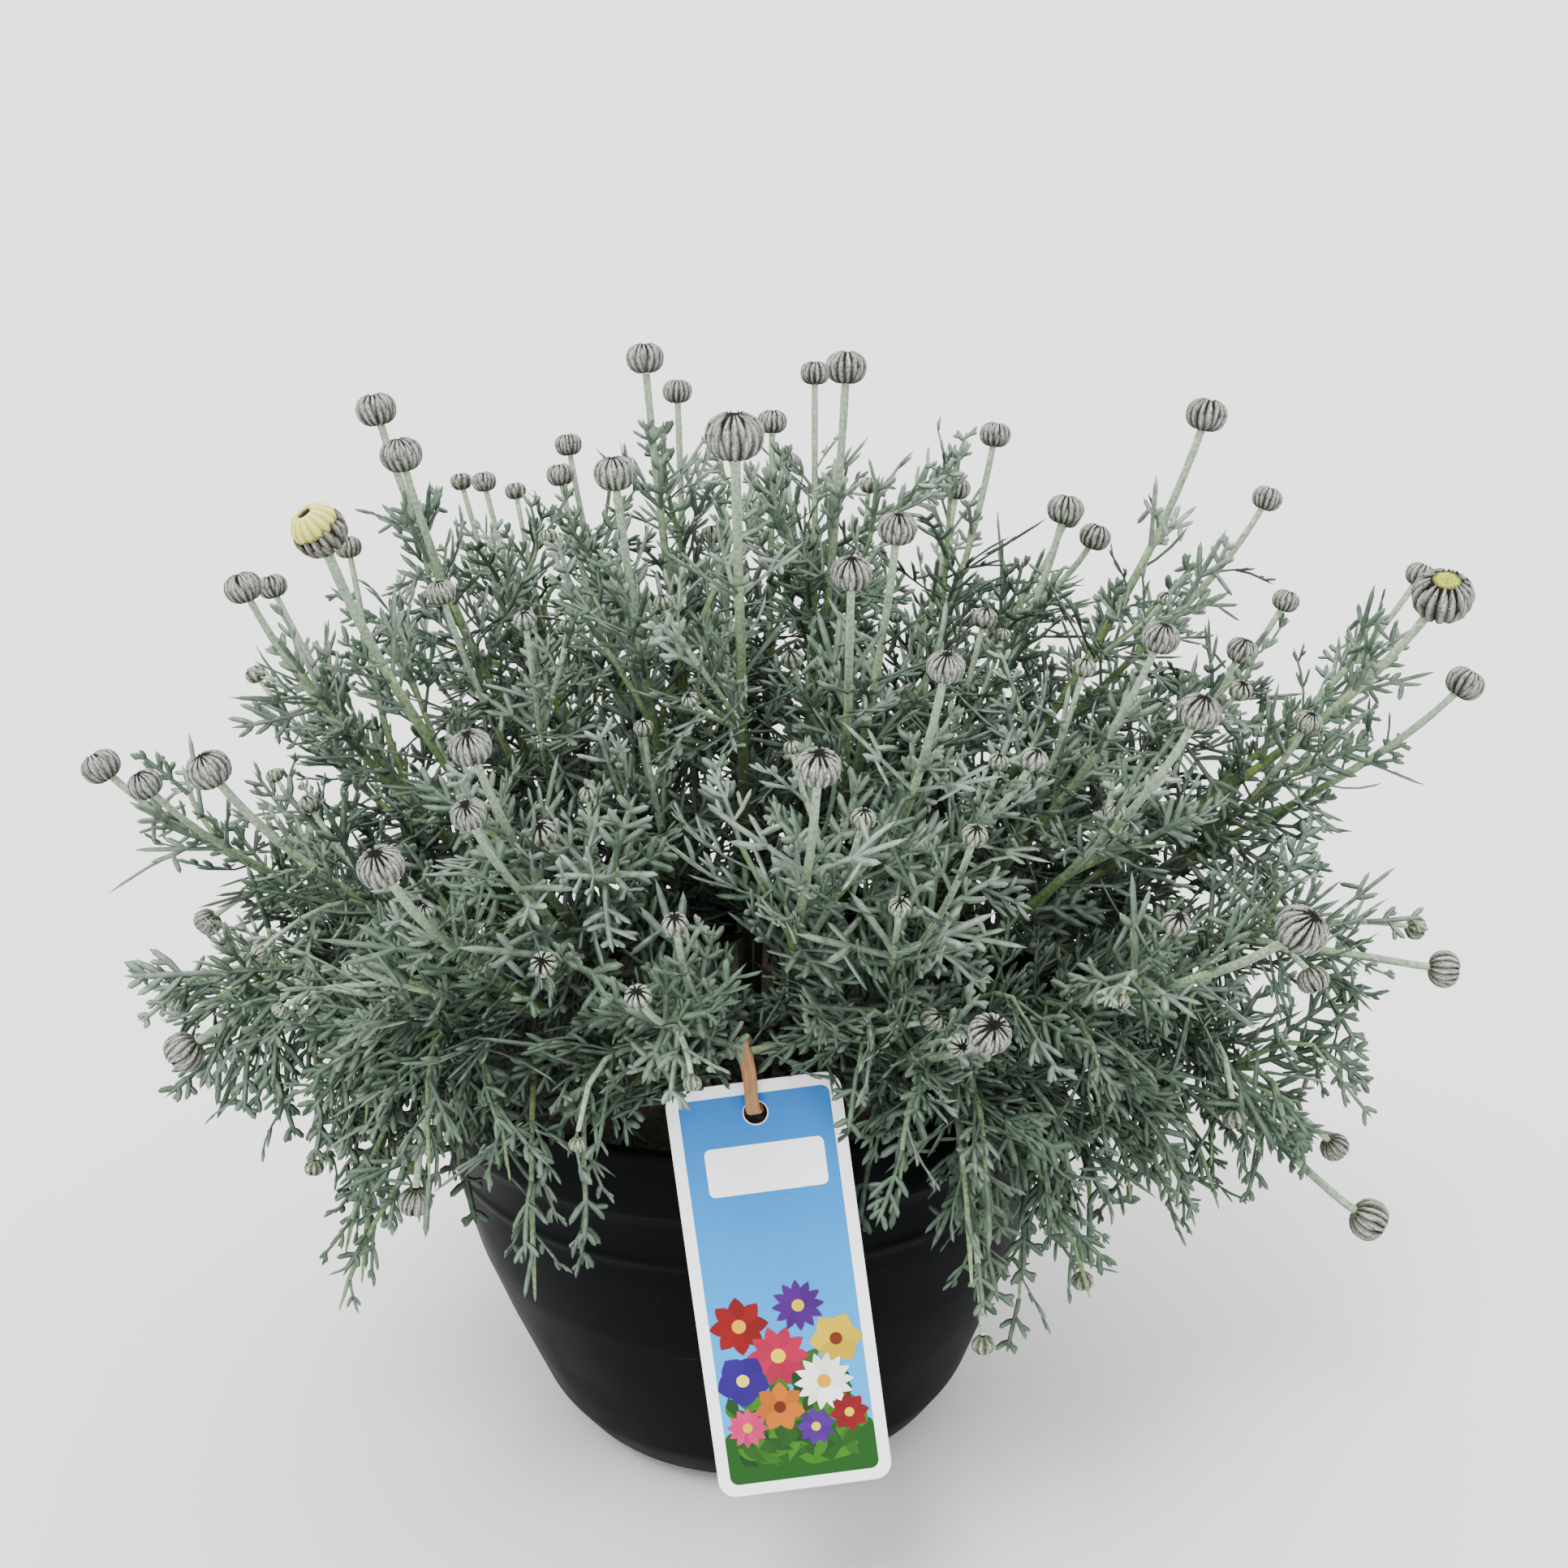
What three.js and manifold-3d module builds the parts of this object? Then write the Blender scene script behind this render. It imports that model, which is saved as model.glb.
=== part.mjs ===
import * as THREE from 'three';
import { mergeVertices } from 'three/addons/utils/BufferGeometryUtils.js';
import Module from 'manifold-3d';

// A rhodanthemum in bud, in a black bowl pot with a hanging label. Millimetres, +Z up, front at -Y.
// The origin is the middle of the pot's flat underside.

// Driving dimensions of the pot and the soil
const FOOT_RADIUS = 55;
const RIM_HEIGHT = 150;
const RIM_RADIUS = 112;
const BAND_HEIGHT = 24;
const WALL = 2.4;
const FLOOR_THICKNESS = 5;
const POT_SIDES = 24;
const SOIL_SIDES = 14;
const SEAT_GAP = 0.3;
const SOIL_LEVEL = 132;
const HOLE_DEPTH = 16;

// Driving dimensions of the label and its tie
const TAG_WIDTH = 50;
const TAG_LENGTH = 120;
const TAG_THICKNESS = 0.8;
const TAG_CORNER = 5;
const TAG_HOLE_RADIUS = 3.4;
const TAG_HOLE_DROP = 9;
const TAG_TOP = new THREE.Vector3(4, -116.5, 177);
const TAG_LEAN = THREE.MathUtils.degToRad(13);
const TAG_TURN = THREE.MathUtils.degToRad(6);
const TIE_WIDTH = 4;
const TIE_THICKNESS = 1;
const TIE_SLACK = 1.6;
const TIE_AT = 0.65;

// Driving dimensions of the plant
const STEM_BASE_WIDTH = 5.2;
const LEAF_HALF_THICKNESS = 1.2;
const LEAF_SPACING = 42;
const LOBE_SPREAD = THREE.MathUtils.degToRad(17);
const LOBE_RADIUS = 1.1;
const NOTCH_DEPTH = 0.42;
const FORK_ROOT = 0.4;
const CLEARANCE = 0.45;
const BASE_SPREAD = 78;
const BASE_GAP = 11;
const GOLDEN_TURN = 2.39996;

// Each spray has its flower buds as [x, y, z, diameter], the main stem's bud first.
const SPRAYS = [
  { buds: [[-25, 15, 367, 12], [-17, 50, 353, 10]] },
  { buds: [[39, 8, 363, 13], [30, 48, 358, 10]] },
  { buds: [[5, -88, 354, 16]] },
  { buds: [[15, 40, 343, 10], [-6, 30, 307, 8]] },
  { buds: [[-113, 18, 353, 13], [-100, -12, 342, 13]] },
  { buds: [[-60, 92, 331, 10], [-62, 78, 322, 10]] },
  { buds: [[-90, 80, 320, 9], [-82, 102, 313, 8]] },
  { buds: [[-30, -60, 341, 12]] },
  { buds: [[94, 70, 333, 11], [122, 80, 301, 9], [126, 45, 300, 11]] },
  { buds: [[154, 8, 345, 13], [181, 30, 314, 10]] },
  { buds: [[51, 105, 311, 8], [20, 125, 318, 10]] },
  { buds: [[49, -78, 326, 11], [35, -104, 319, 11]] },
  { buds: [[-115, -62, 327, 16]], opening: true },
  { buds: [[-155, -8, 301, 12], [-156, 28, 294, 10], [-127, 20, 308, 9]] },
  { buds: [[-86, -40, 304, 9], [-57, -70, 301, 7]] },
  { buds: [[125, -70, 291, 11], [105, -60, 280, 7]] },
  { buds: [[79, -30, 289, 8], [19, -60, 285, 7]] },
  { buds: [[185, 15, 282, 9], [162, -20, 274, 10]] },
  { buds: [[226, -15, 289, 19], [232, 22, 288, 10]] },
  { buds: [[249, 18, 251, 13], [183, -25, 251, 9]] },
  { buds: [[130, -100, 277, 12]] },
  { buds: [[58, -125, 298, 10], [84, -105, 266, 8]] },
  { buds: [[-65, -128, 281, 11], [-63, -150, 270, 9], [-47, -150, 229, 7]] },
  { buds: [[-24, -80, 271, 6], [-49, -120, 254, 8]] },
  { buds: [[24, -160, 283, 11], [36, -130, 259, 7]] },
  { buds: [[64, -140, 257, 7], [44, -150, 242, 6]] },
  { buds: [[-214, 5, 239, 13], [-187, -30, 243, 11]] },
  { buds: [[-151, -75, 261, 13], [-133, -40, 238, 7]] },
  { buds: [[-86, -150, 257, 12], [-101, -130, 222, 6]] },
  { buds: [[-13, -150, 239, 7], [-22, -165, 226, 7]] },
  { buds: [[159, -110, 216, 15], [120, -125, 225, 8]] },
  { buds: [[226, -45, 173, 12], [223, -25, 179, 8], [179, -60, 177, 10]] },
  { buds: [[66, -160, 211, 11], [59, -150, 203, 6]] },
  { buds: [[-172, -70, 168, 13], [-190, -20, 163, 9]] },
  { buds: [[205, -55, 88, 14], [200, -30, 101, 10], [154, -70, 135, 8]] },
  { buds: [[-96, -108, 136, 10]] },
  { buds: [[70, -117, 88, 7]], base: [54, -58] },
  { buds: [[104, -90, 91, 7]] },
];
// The low stem that carries the label starts and bends where these points say.
const HOLDER = {
  buds: [[54, -128, 200, 7], [-44, -132, 167, 5]],
  base: [-38, -66],
  handles: [[-40, -108, 188], [0, -118, 182]],
};
// The back of the dome, which is filled by a rule: azimuth steps, and a high and a low bud on each spray.
const BACK_SPRAYS = 8;
const BACK_FROM = THREE.MathUtils.degToRad(98);
const BACK_TO = THREE.MathUtils.degToRad(262);
const BACK_LEANS = [38, 62, 84];
const BACK_REACH = [228, 232, 205];

// Leafy side shoots without a bud bend over the rim all round, from the sprays that lean out.
const SKIRT_LEAN = THREE.MathUtils.degToRad(50);
const SKIRT_FORK = 0.22;
const SKIRT_REACH = 136;
const SKIRT_SIDE_REACH = 164;
const SKIRT_LEVEL = 136;
const SKIRT_SIDE_DROP = 56;
const SKIRT_TURN = 0.3;
const SKIRT_FRONT_GAP = 0.38;

const UP = new THREE.Vector3(0, 0, 1);

function draw(key) {
  const value = Math.sin(key * 12.9898 + 4.1414) * 43758.5453;
  return value - Math.floor(value);
}

function mix(from, to, share) {
  return from + (to - from) * share;
}

function clamp01(value) {
  return Math.min(1, Math.max(0, value));
}

function backSprays() {
  const sprays = [];
  for (let i = 0; i < BACK_SPRAYS; i += 1) {
    const azimuth = mix(BACK_FROM, BACK_TO, (i + 0.5) / BACK_SPRAYS);
    const buds = [];
    for (const level of i % 2 === 0 ? [0, 2] : [1, 2]) {
      const key = 31 * i + 7 * level;
      const lean = THREE.MathUtils.degToRad(BACK_LEANS[level] + 10 * (draw(key) - 0.5));
      const turn = azimuth + (level === 2 ? 0.16 : -0.1) + 0.1 * (draw(key + 1) - 0.5);
      const reach = BACK_REACH[level] * (0.94 + 0.12 * draw(key + 2));
      buds.push([
        Math.sin(turn) * Math.sin(lean) * reach,
        -Math.cos(turn) * Math.sin(lean) * reach,
        SOIL_LEVEL + Math.cos(lean) * reach,
        8 + 5 * draw(key + 3),
      ]);
    }
    sprays.push({ buds });
  }
  return sprays;
}

// Bases spread over the soil: further out where the spray leans more, then pushed apart.
function wantedBase(spray) {
  if (spray.base) {
    return new THREE.Vector2(...spray.base);
  }
  const [x, y, z] = spray.buds[0];
  const out = Math.hypot(x, y);
  const lean = Math.atan2(out, z - SOIL_LEVEL);
  const radius = BASE_SPREAD * Math.min(1, lean / (Math.PI / 2));
  return new THREE.Vector2((x / out) * radius, (y / out) * radius);
}

function spreadBases(sprays) {
  const bases = sprays.map(wantedBase);
  for (let round = 0; round < 60; round += 1) {
    for (let i = 0; i < bases.length; i += 1) {
      for (let j = 0; j < i; j += 1) {
        const apart = bases[i].clone().sub(bases[j]);
        const distance = apart.length();
        if (distance < BASE_GAP) {
          apart.multiplyScalar((BASE_GAP - distance) / (2 * distance));
          bases[i].add(apart);
          bases[j].sub(apart);
        }
      }
    }
    for (const base of bases) {
      base.clampLength(0, BASE_SPREAD + 6);
    }
  }
  return bases;
}

// A stem climbs, leans out and turns up to its bud. One with a low bud climbs over the rim and bends down.
function stemCurve(start, tip, startDirection) {
  const flat = new THREE.Vector2(tip.x - start.x, tip.y - start.y);
  const across = flat.length();
  const rise = tip.z - start.z;
  const low = clamp01((SOIL_LEVEL + 86 - tip.z) / 80);
  const reach = clamp01((Math.hypot(tip.x, tip.y) - RIM_RADIUS) / 100);
  const firstOut = across * mix(0.3, 0.15, low);
  const firstUp = mix(0.28 * rise + 0.1 * across, 95, low);
  const lastOut = across * mix(0.8, mix(0.92, 0.73, reach), low);
  const lastUp = mix(0.62 * rise, rise + mix(85, 18, reach), low);
  const along = new THREE.Vector3(flat.x, flat.y, 0).normalize();
  const first = start.clone().addScaledVector(along, firstOut).addScaledVector(UP, firstUp);
  if (startDirection) {
    first.copy(start).addScaledVector(startDirection, 0.3 * start.distanceTo(tip));
  }
  const last = start.clone().addScaledVector(along, lastOut).addScaledVector(UP, lastUp);
  return new THREE.CubicBezierCurve3(start, first, last, tip);
}

// A stem is a chain of straight runs between rings, and ends in the neck under its bud.
function budStem(curve, budDiameter, isMain) {
  const big = budDiameter > 11.5;
  const tipWidth = mix(2.2, 4.4, clamp01((budDiameter - 5) / 11));
  const length = curve.getLength();
  const steps = Math.max(3, Math.round(length / LEAF_SPACING));
  const neckAt = 1 - (0.4 * budDiameter) / length;
  const joints = [];
  for (let i = 0; i <= steps; i += 1) {
    joints.push(curve.getPoint((neckAt * i) / steps));
  }
  return {
    curve,
    joints,
    buried: isMain,
    neckAt,
    budDiameter,
    length,
    sides: big ? 4 : 3,
    baseRadius: (isMain ? STEM_BASE_WIDTH : mix(tipWidth, STEM_BASE_WIDTH, 0.4)) / 2,
    tipRadius: tipWidth / 2,
  };
}

function axisPoint({ joints }, at) {
  const along = clamp01(at) * (joints.length - 1);
  const run = Math.min(Math.floor(along), joints.length - 2);
  return joints[run].clone().lerp(joints[run + 1], along - run);
}

// A leafy shoot that ends in a point instead of a bud, and hangs lower at the sides than in front.
function skirtShoot(trunk, turn, number) {
  const fork = axisPoint(trunk, SKIRT_FORK);
  const sideways = Math.abs(Math.sin(turn));
  const reach = mix(SKIRT_REACH, SKIRT_SIDE_REACH, sideways) * (0.94 + 0.12 * draw(number));
  const level = SKIRT_LEVEL - SKIRT_SIDE_DROP * sideways * (0.3 + 0.7 * draw(number + 3));
  const tip = new THREE.Vector3(Math.sin(turn) * reach, -Math.cos(turn) * reach, level);
  const direction = tip.clone().sub(fork).setZ(0).normalize().addScaledVector(UP, 1.1).normalize();
  const shoot = budStem(stemCurve(fork, tip, direction), 5, false);
  shoot.budDiameter = 0;
  shoot.rootRadius = FORK_ROOT * stemRadius(trunk, SKIRT_FORK);
  return shoot;
}

function growSpray(spray, base, number) {
  const start = new THREE.Vector3(base.x, base.y, SOIL_LEVEL + 1);
  const stems = [];
  spray.buds.forEach(([x, y, z, diameter], i) => {
    const tip = new THREE.Vector3(x, y, z);
    if (i > 0) {
      const forkAt = 0.3 + 0.1 * i;
      const fork = axisPoint(stems[0], forkAt);
      const direction = stems[0].curve.getTangent(forkAt);
      const side = budStem(stemCurve(fork, tip, direction), diameter, false);
      side.rootRadius = FORK_ROOT * stemRadius(stems[0], forkAt);
      stems.push(side);
      return;
    }
    let curve = stemCurve(start, tip);
    if (spray.handles) {
      const handles = spray.handles.map((point) => new THREE.Vector3(...point));
      curve = new THREE.CubicBezierCurve3(start, ...handles, tip);
    }
    stems.push(budStem(curve, diameter, true));
  });
  const { x, y, z } = stems[0].curve.getPoint(1);
  const turn = Math.atan2(base.x, -base.y) + SKIRT_TURN * (number % 2 === 0 ? 1 : -1);
  const leansOut = Math.atan2(Math.hypot(x, y), z - SOIL_LEVEL) > SKIRT_LEAN;
  if (leansOut && Math.abs(turn) > SKIRT_FRONT_GAP && !spray.handles) {
    stems.push(skirtShoot(stems[0], turn, number));
  }
  return { number, base, stems, opening: spray.opening };
}

// Closed bodies are lofted through rings of points and ended in a point or a flat.
class Loft {
  constructor() {
    this.points = [];
    this.faces = [];
    this.last = null;
  }

  addRing(centre, side, front, radii, phase) {
    const ring = radii.map((radius, k) => {
      const angle = (k + phase) / radii.length;
      const point = centre.clone();
      point.addScaledVector(side, radius * Math.cos(2 * Math.PI * angle));
      point.addScaledVector(front, radius * Math.sin(2 * Math.PI * angle));
      this.points.push(point);
      return { index: this.points.length - 1, angle };
    });
    if (this.last) {
      this.stitch(this.last, ring);
    } else {
      for (let k = 1; k < ring.length - 1; k += 1) {
        this.faces.push([ring[0].index, ring[k + 1].index, ring[k].index]);
      }
    }
    this.last = ring;
  }

  addOutline(corners) {
    const ring = corners.map(({ point, angle }) => {
      this.points.push(point);
      return { index: this.points.length - 1, angle };
    });
    this.stitch(this.last, ring);
    this.last = ring;
  }

  stitch(lower, upper) {
    let i = 0;
    let j = 0;
    const angleOf = (ring, k) => ring[k % ring.length].angle + Math.floor(k / ring.length);
    while (i < lower.length || j < upper.length) {
      const below = lower[i % lower.length].index;
      const above = upper[j % upper.length].index;
      const lowerNext = i < lower.length ? angleOf(lower, i + 1) : Infinity;
      const upperNext = j < upper.length ? angleOf(upper, j + 1) : Infinity;
      if (lowerNext <= upperNext) {
        i += 1;
        this.faces.push([below, lower[i % lower.length].index, above]);
      } else {
        j += 1;
        this.faces.push([below, upper[j % upper.length].index, above]);
      }
    }
  }

  closeAt(point) {
    this.points.push(point);
    const end = this.points.length - 1;
    this.last.forEach(({ index }, k) => {
      this.faces.push([index, this.last[(k + 1) % this.last.length].index, end]);
    });
  }
}

function sideAndFront(curve, at) {
  const tangent = curve.getTangent(at);
  const chord = curve.getPoint(1).sub(curve.getPoint(0));
  const side = new THREE.Vector3(-chord.y, chord.x, 0).normalize();
  const front = new THREE.Vector3().crossVectors(tangent, side).normalize();
  side.crossVectors(front, tangent).normalize();
  return { tangent, side, front };
}

function stemRadius(stem, at) {
  return mix(stem.baseRadius, stem.tipRadius, at);
}

// A stem and its bud in one body: rings of staggered points stand for the overlapping bracts.
function stemBody(stem, cup) {
  const loft = new Loft();
  const budRadius = stem.budDiameter / 2;
  if (stem.buried) {
    const { side } = sideAndFront(stem.curve, 0);
    side.setZ(0).normalize();
    const level = new THREE.Vector3().crossVectors(UP, side);
    const foot = stem.joints[0].clone().setZ(SOIL_LEVEL - HOLE_DEPTH + SEAT_GAP);
    loft.addRing(foot, side, level, new Array(stem.sides).fill(stem.baseRadius), 0);
  }
  stem.joints.forEach((joint, i) => {
    const at = i / (stem.joints.length - 1);
    const { tangent, side, front } = sideAndFront(stem.curve, at * stem.neckAt);
    const radius = i === 0 && stem.rootRadius ? stem.rootRadius : stemRadius(stem, at);
    const radii = new Array(stem.sides).fill(radius);
    const pair = stem.leafPairs[i];
    if (!pair) {
      loft.addRing(joint, side, front, radii, 0);
      return;
    }
    const step = tangent.clone().multiplyScalar(LEAF_HALF_THICKNESS);
    loft.addRing(joint.clone().sub(step), side, front, radii, 0);
    loft.addOutline(leafOutline(pair));
    loft.addRing(joint.clone().add(step), side, front, radii, 0);
  });
  if (stem.budDiameter === 0) {
    loft.closeAt(stem.curve.getPoint(1));
    return loft;
  }
  const { tangent, side, front } = sideAndFront(stem.curve, 1);
  const centre = stem.curve.getPoint(1);
  const bracts = stem.sides * 2;
  const levels = stem.budDiameter > 7.5 ? [[-0.55, 0.72], [0, 1], [0.62, 0.7]] : [[-0.3, 0.9], [0.55, 0.72]];
  levels.forEach(([height, width], i) => {
    const radii = new Array(bracts).fill(budRadius * width);
    const middle = centre.clone().addScaledVector(tangent, budRadius * height);
    loft.addRing(middle, side, front, radii, i % 2 === 1 ? 0.5 : 0);
  });
  loft.closeAt(centre.clone().addScaledVector(tangent, budRadius * (cup ? 0 : 0.3)));
  return loft;
}

// The folded rays of the opening bud: a ribbed dome with a dent, seated in the cup of bracts.
const RAY_COUNT = 12;
function rayDome(stem) {
  const loft = new Loft();
  const budRadius = stem.budDiameter / 2;
  const { tangent, side, front } = sideAndFront(stem.curve, 1);
  const centre = stem.curve.getPoint(1);
  const levels = [[0.36, 0.26], [0.72, 0.78], [0.98, 0.6], [1.06, 0.34]];
  levels.forEach(([height, width], level) => {
    const radii = [];
    for (let k = 0; k < RAY_COUNT; k += 1) {
      radii.push(budRadius * width * (k % 2 === 0 || level === 0 ? 1 : 0.88));
    }
    loft.addRing(centre.clone().addScaledVector(tangent, budRadius * height), side, front, radii, 0);
  });
  loft.closeAt(centre.clone().addScaledVector(tangent, budRadius * 0.8));
  return loft;
}

// A pair of leaves stands across the stem at a joint. Each is one thin blade cut into narrow lobes,
// and the blades' outline runs right round the stem, in order of angle.
function leafCorners(pair) {
  const { stem, turn, lobes, length, key } = pair;
  const corners = [];
  for (const half of [0, 1]) {
    const middle = turn + half * Math.PI;
    for (let k = 0; k < lobes; k += 1) {
      const off = k - (lobes - 1) / 2;
      const shorter = 1 - 0.2 * Math.abs(off) - 0.16 * draw(key + k + 9 * half);
      corners.push({ angle: middle + off * LOBE_SPREAD, out: length * shorter, isTip: true });
      if (k < lobes - 1) {
        corners.push({ angle: middle + (off + 0.5) * LOBE_SPREAD, out: length * NOTCH_DEPTH });
      }
    }
    corners.push({ angle: middle + Math.PI / 2, out: stem.baseRadius });
  }
  return corners;
}

function placeCorner(pair, { angle, out }) {
  const { side, front, tangent, joint, rise, arch, length } = pair;
  const point = joint.clone();
  point.addScaledVector(side, out * Math.cos(angle)).addScaledVector(front, out * Math.sin(angle));
  return point.addScaledVector(tangent, out * (rise + (arch * out) / length));
}

function leafOutline(pair) {
  const corners = leafCorners(pair).map((corner) => {
    const turns = corner.angle / (2 * Math.PI);
    return { point: placeCorner(pair, corner), angle: turns - Math.floor(turns) };
  });
  return corners.sort((a, b) => a.angle - b.angle);
}

// Straight bones of a pair of leaves, used to keep it clear of what it would cross.
function leafBones(pair) {
  const bones = [];
  for (const corner of leafCorners(pair)) {
    if (corner.isTip) {
      const near = placeCorner(pair, { angle: corner.angle, out: corner.out * NOTCH_DEPTH });
      bones.push({ from: near, to: placeCorner(pair, corner), radius: LOBE_RADIUS });
      bones.push({ from: pair.joint, to: near, radius: 1.5 * LOBE_RADIUS });
    }
  }
  return bones;
}

function stemBones(stem) {
  const bones = [];
  for (let i = 0; i + 1 < stem.joints.length; i += 1) {
    const radius = stemRadius(stem, i / (stem.joints.length - 1));
    bones.push({ from: stem.joints[i], to: stem.joints[i + 1], radius });
  }
  const tip = stem.curve.getPoint(1);
  bones.push({ from: tip, to: tip, radius: stem.budDiameter / 2 });
  return bones;
}

// Shortest distance between two straight bones.
function boneDistance(a, b) {
  const u = a.to.clone().sub(a.from);
  const v = b.to.clone().sub(b.from);
  const w = a.from.clone().sub(b.from);
  const uu = u.dot(u) + 1e-9;
  const uv = u.dot(v);
  const vv = v.dot(v) + 1e-9;
  const uw = u.dot(w);
  const vw = v.dot(w);
  const spread = uu * vv - uv * uv;
  let s = spread < 1e-9 ? 0 : clamp01((uv * vw - vv * uw) / spread);
  const t = clamp01((uv * s + vw) / vv);
  s = clamp01((uv * t - uw) / uu);
  return w.addScaledVector(u, s).addScaledVector(v, -t).length();
}

function bonesTouch(mine, others, gap) {
  for (const a of mine) {
    for (const b of others) {
      const far = a.from.distanceTo(b.from) - a.from.distanceTo(a.to) - b.from.distanceTo(b.to);
      if (far < a.radius + b.radius + gap && boneDistance(a, b) < a.radius + b.radius + gap) {
        return true;
      }
    }
  }
  return false;
}

const potProfile = [
  [FOOT_RADIUS, 0],
  [69, 5],
  [78, 18],
  [90, 50],
  [98, 74],
  [105, 107],
  [107.8, RIM_HEIGHT - BAND_HEIGHT],
  [RIM_RADIUS - 0.8, RIM_HEIGHT - BAND_HEIGHT + 3],
  [RIM_RADIUS, RIM_HEIGHT],
];

function potRadius(height) {
  for (let i = 1; i < potProfile.length; i += 1) {
    const [lowRadius, low] = potProfile[i - 1];
    const [highRadius, high] = potProfile[i];
    if (height <= high) {
      return mix(lowRadius, highRadius, clamp01((height - low) / (high - low)));
    }
  }
  return potProfile.at(-1)[0];
}

function hitsPot(point, gap) {
  if (point.z > RIM_HEIGHT + gap) {
    return false;
  }
  const out = Math.hypot(point.x, point.y);
  if (out > potRadius(point.z) + gap) {
    return point.z < gap;
  }
  return out > RIM_RADIUS - 2 * WALL - gap || point.z < SOIL_LEVEL + gap;
}

const tagMatrix = new THREE.Matrix4()
  .makeTranslation(TAG_TOP.x, TAG_TOP.y, TAG_TOP.z)
  .multiply(new THREE.Matrix4().makeRotationX(Math.PI / 2 - TAG_LEAN))
  .multiply(new THREE.Matrix4().makeRotationZ(TAG_TURN));
const tagInverse = tagMatrix.clone().invert();

function hitsTag(point, gap) {
  const local = point.clone().applyMatrix4(tagInverse);
  const beside = Math.abs(local.x) > TAG_WIDTH / 2 + gap;
  const beyond = local.y > gap || local.y < -TAG_LENGTH - gap;
  return !beside && !beyond && Math.abs(local.z) < TAG_THICKNESS + gap;
}

function bonesHitFixed(bones) {
  for (const { from, to, radius } of bones) {
    for (let i = 0; i <= 4; i += 1) {
      const point = from.clone().lerp(to, i / 4);
      if (hitsPot(point, radius + 1) || hitsTag(point, radius + 1)) {
        return true;
      }
    }
  }
  return false;
}

// Pairs of leaves turn round the stem by the golden turn, smaller and less cut towards the bud.
function leafPairAt(stem, joint, key, turn, size) {
  const at = joint / (stem.joints.length - 1);
  const { tangent, side, front } = sideAndFront(stem.curve, at * stem.neckAt);
  return {
    stem,
    key,
    turn,
    tangent,
    side,
    front,
    joint: stem.joints[joint],
    lobes: at > 0.6 && stem.budDiameter > 0 ? 3 : 5,
    length: size * mix(38, 20, at) * (0.85 + 0.3 * draw(key + 3)),
    rise: mix(0.5, 0.9, at) + 0.5 * (draw(key + 4) - 0.5),
    arch: 0.5 * (draw(key + 5) - 0.5),
  };
}

function addLeaves(sprays, tieBones) {
  const bonesOf = new Map();
  for (const spray of sprays) {
    bonesOf.set(spray, spray.stems.flatMap(stemBones));
  }
  const placed = [];
  for (const spray of sprays) {
    const others = sprays.filter((other) => other !== spray).flatMap((other) => bonesOf.get(other));
    spray.stems.forEach((stem, number) => {
      stem.leafPairs = {};
      const own = spray.stems.filter((other) => other !== stem).flatMap(stemBones);
      for (let joint = 1; joint < stem.joints.length - 1; joint += 1) {
        const key = spray.number * 97 + number * 31 + joint * 7;
        for (let attempt = 0; attempt < 12; attempt += 1) {
          const turn = key * GOLDEN_TURN + attempt * 0.55;
          const pair = leafPairAt(stem, joint, key, turn, attempt < 6 ? 1 : 0.75);
          const bones = leafBones(pair);
          const blocked = bonesHitFixed(bones)
            || bonesTouch(bones, others, CLEARANCE)
            || bonesTouch(bones, own, CLEARANCE)
            || bonesTouch(bones, tieBones, CLEARANCE)
            || bonesTouch(bones, placed, CLEARANCE);
          if (!blocked) {
            stem.leafPairs[joint] = pair;
            placed.push(...bones);
            break;
          }
        }
      }
    });
  }
}

// Solids are joined and cut by the boolean library.
const wasm = await Module();
wasm.setup();

function toSolid(geometry) {
  const bare = geometry.clone();
  bare.deleteAttribute('normal');
  bare.deleteAttribute('uv');
  const merged = mergeVertices(bare, 1e-4);
  return new wasm.Manifold(new wasm.Mesh({
    numProp: 3,
    vertProperties: new Float32Array(merged.attributes.position.array),
    triVerts: new Uint32Array(merged.index.array),
  }));
}

function loftGeometry({ points, faces }) {
  const geometry = new THREE.BufferGeometry().setFromPoints(points);
  geometry.setIndex(faces.flat());
  return geometry;
}

function toGeometry(solid) {
  const { vertProperties, triVerts } = solid.getMesh();
  const geometry = new THREE.BufferGeometry();
  geometry.setAttribute('position', new THREE.BufferAttribute(vertProperties, 3));
  geometry.setIndex(new THREE.BufferAttribute(triVerts, 1));
  geometry.computeVertexNormals();
  return geometry;
}

function latheUpright(profile, sides) {
  const geometry = new THREE.LatheGeometry(profile.map(([r, z]) => new THREE.Vector2(r, z)), sides);
  return geometry.rotateX(Math.PI / 2);
}

function potGeometry() {
  const inside = potProfile.slice(1, -3).reverse().map(([radius, height]) => {
    return [radius - WALL, Math.max(height, FLOOR_THICKNESS)];
  });
  const lip = RIM_RADIUS - 2 * WALL;
  return latheUpright([
    [0, 0],
    ...potProfile,
    [lip, RIM_HEIGHT],
    ...inside,
    [0, FLOOR_THICKNESS],
  ], POT_SIDES);
}

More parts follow.
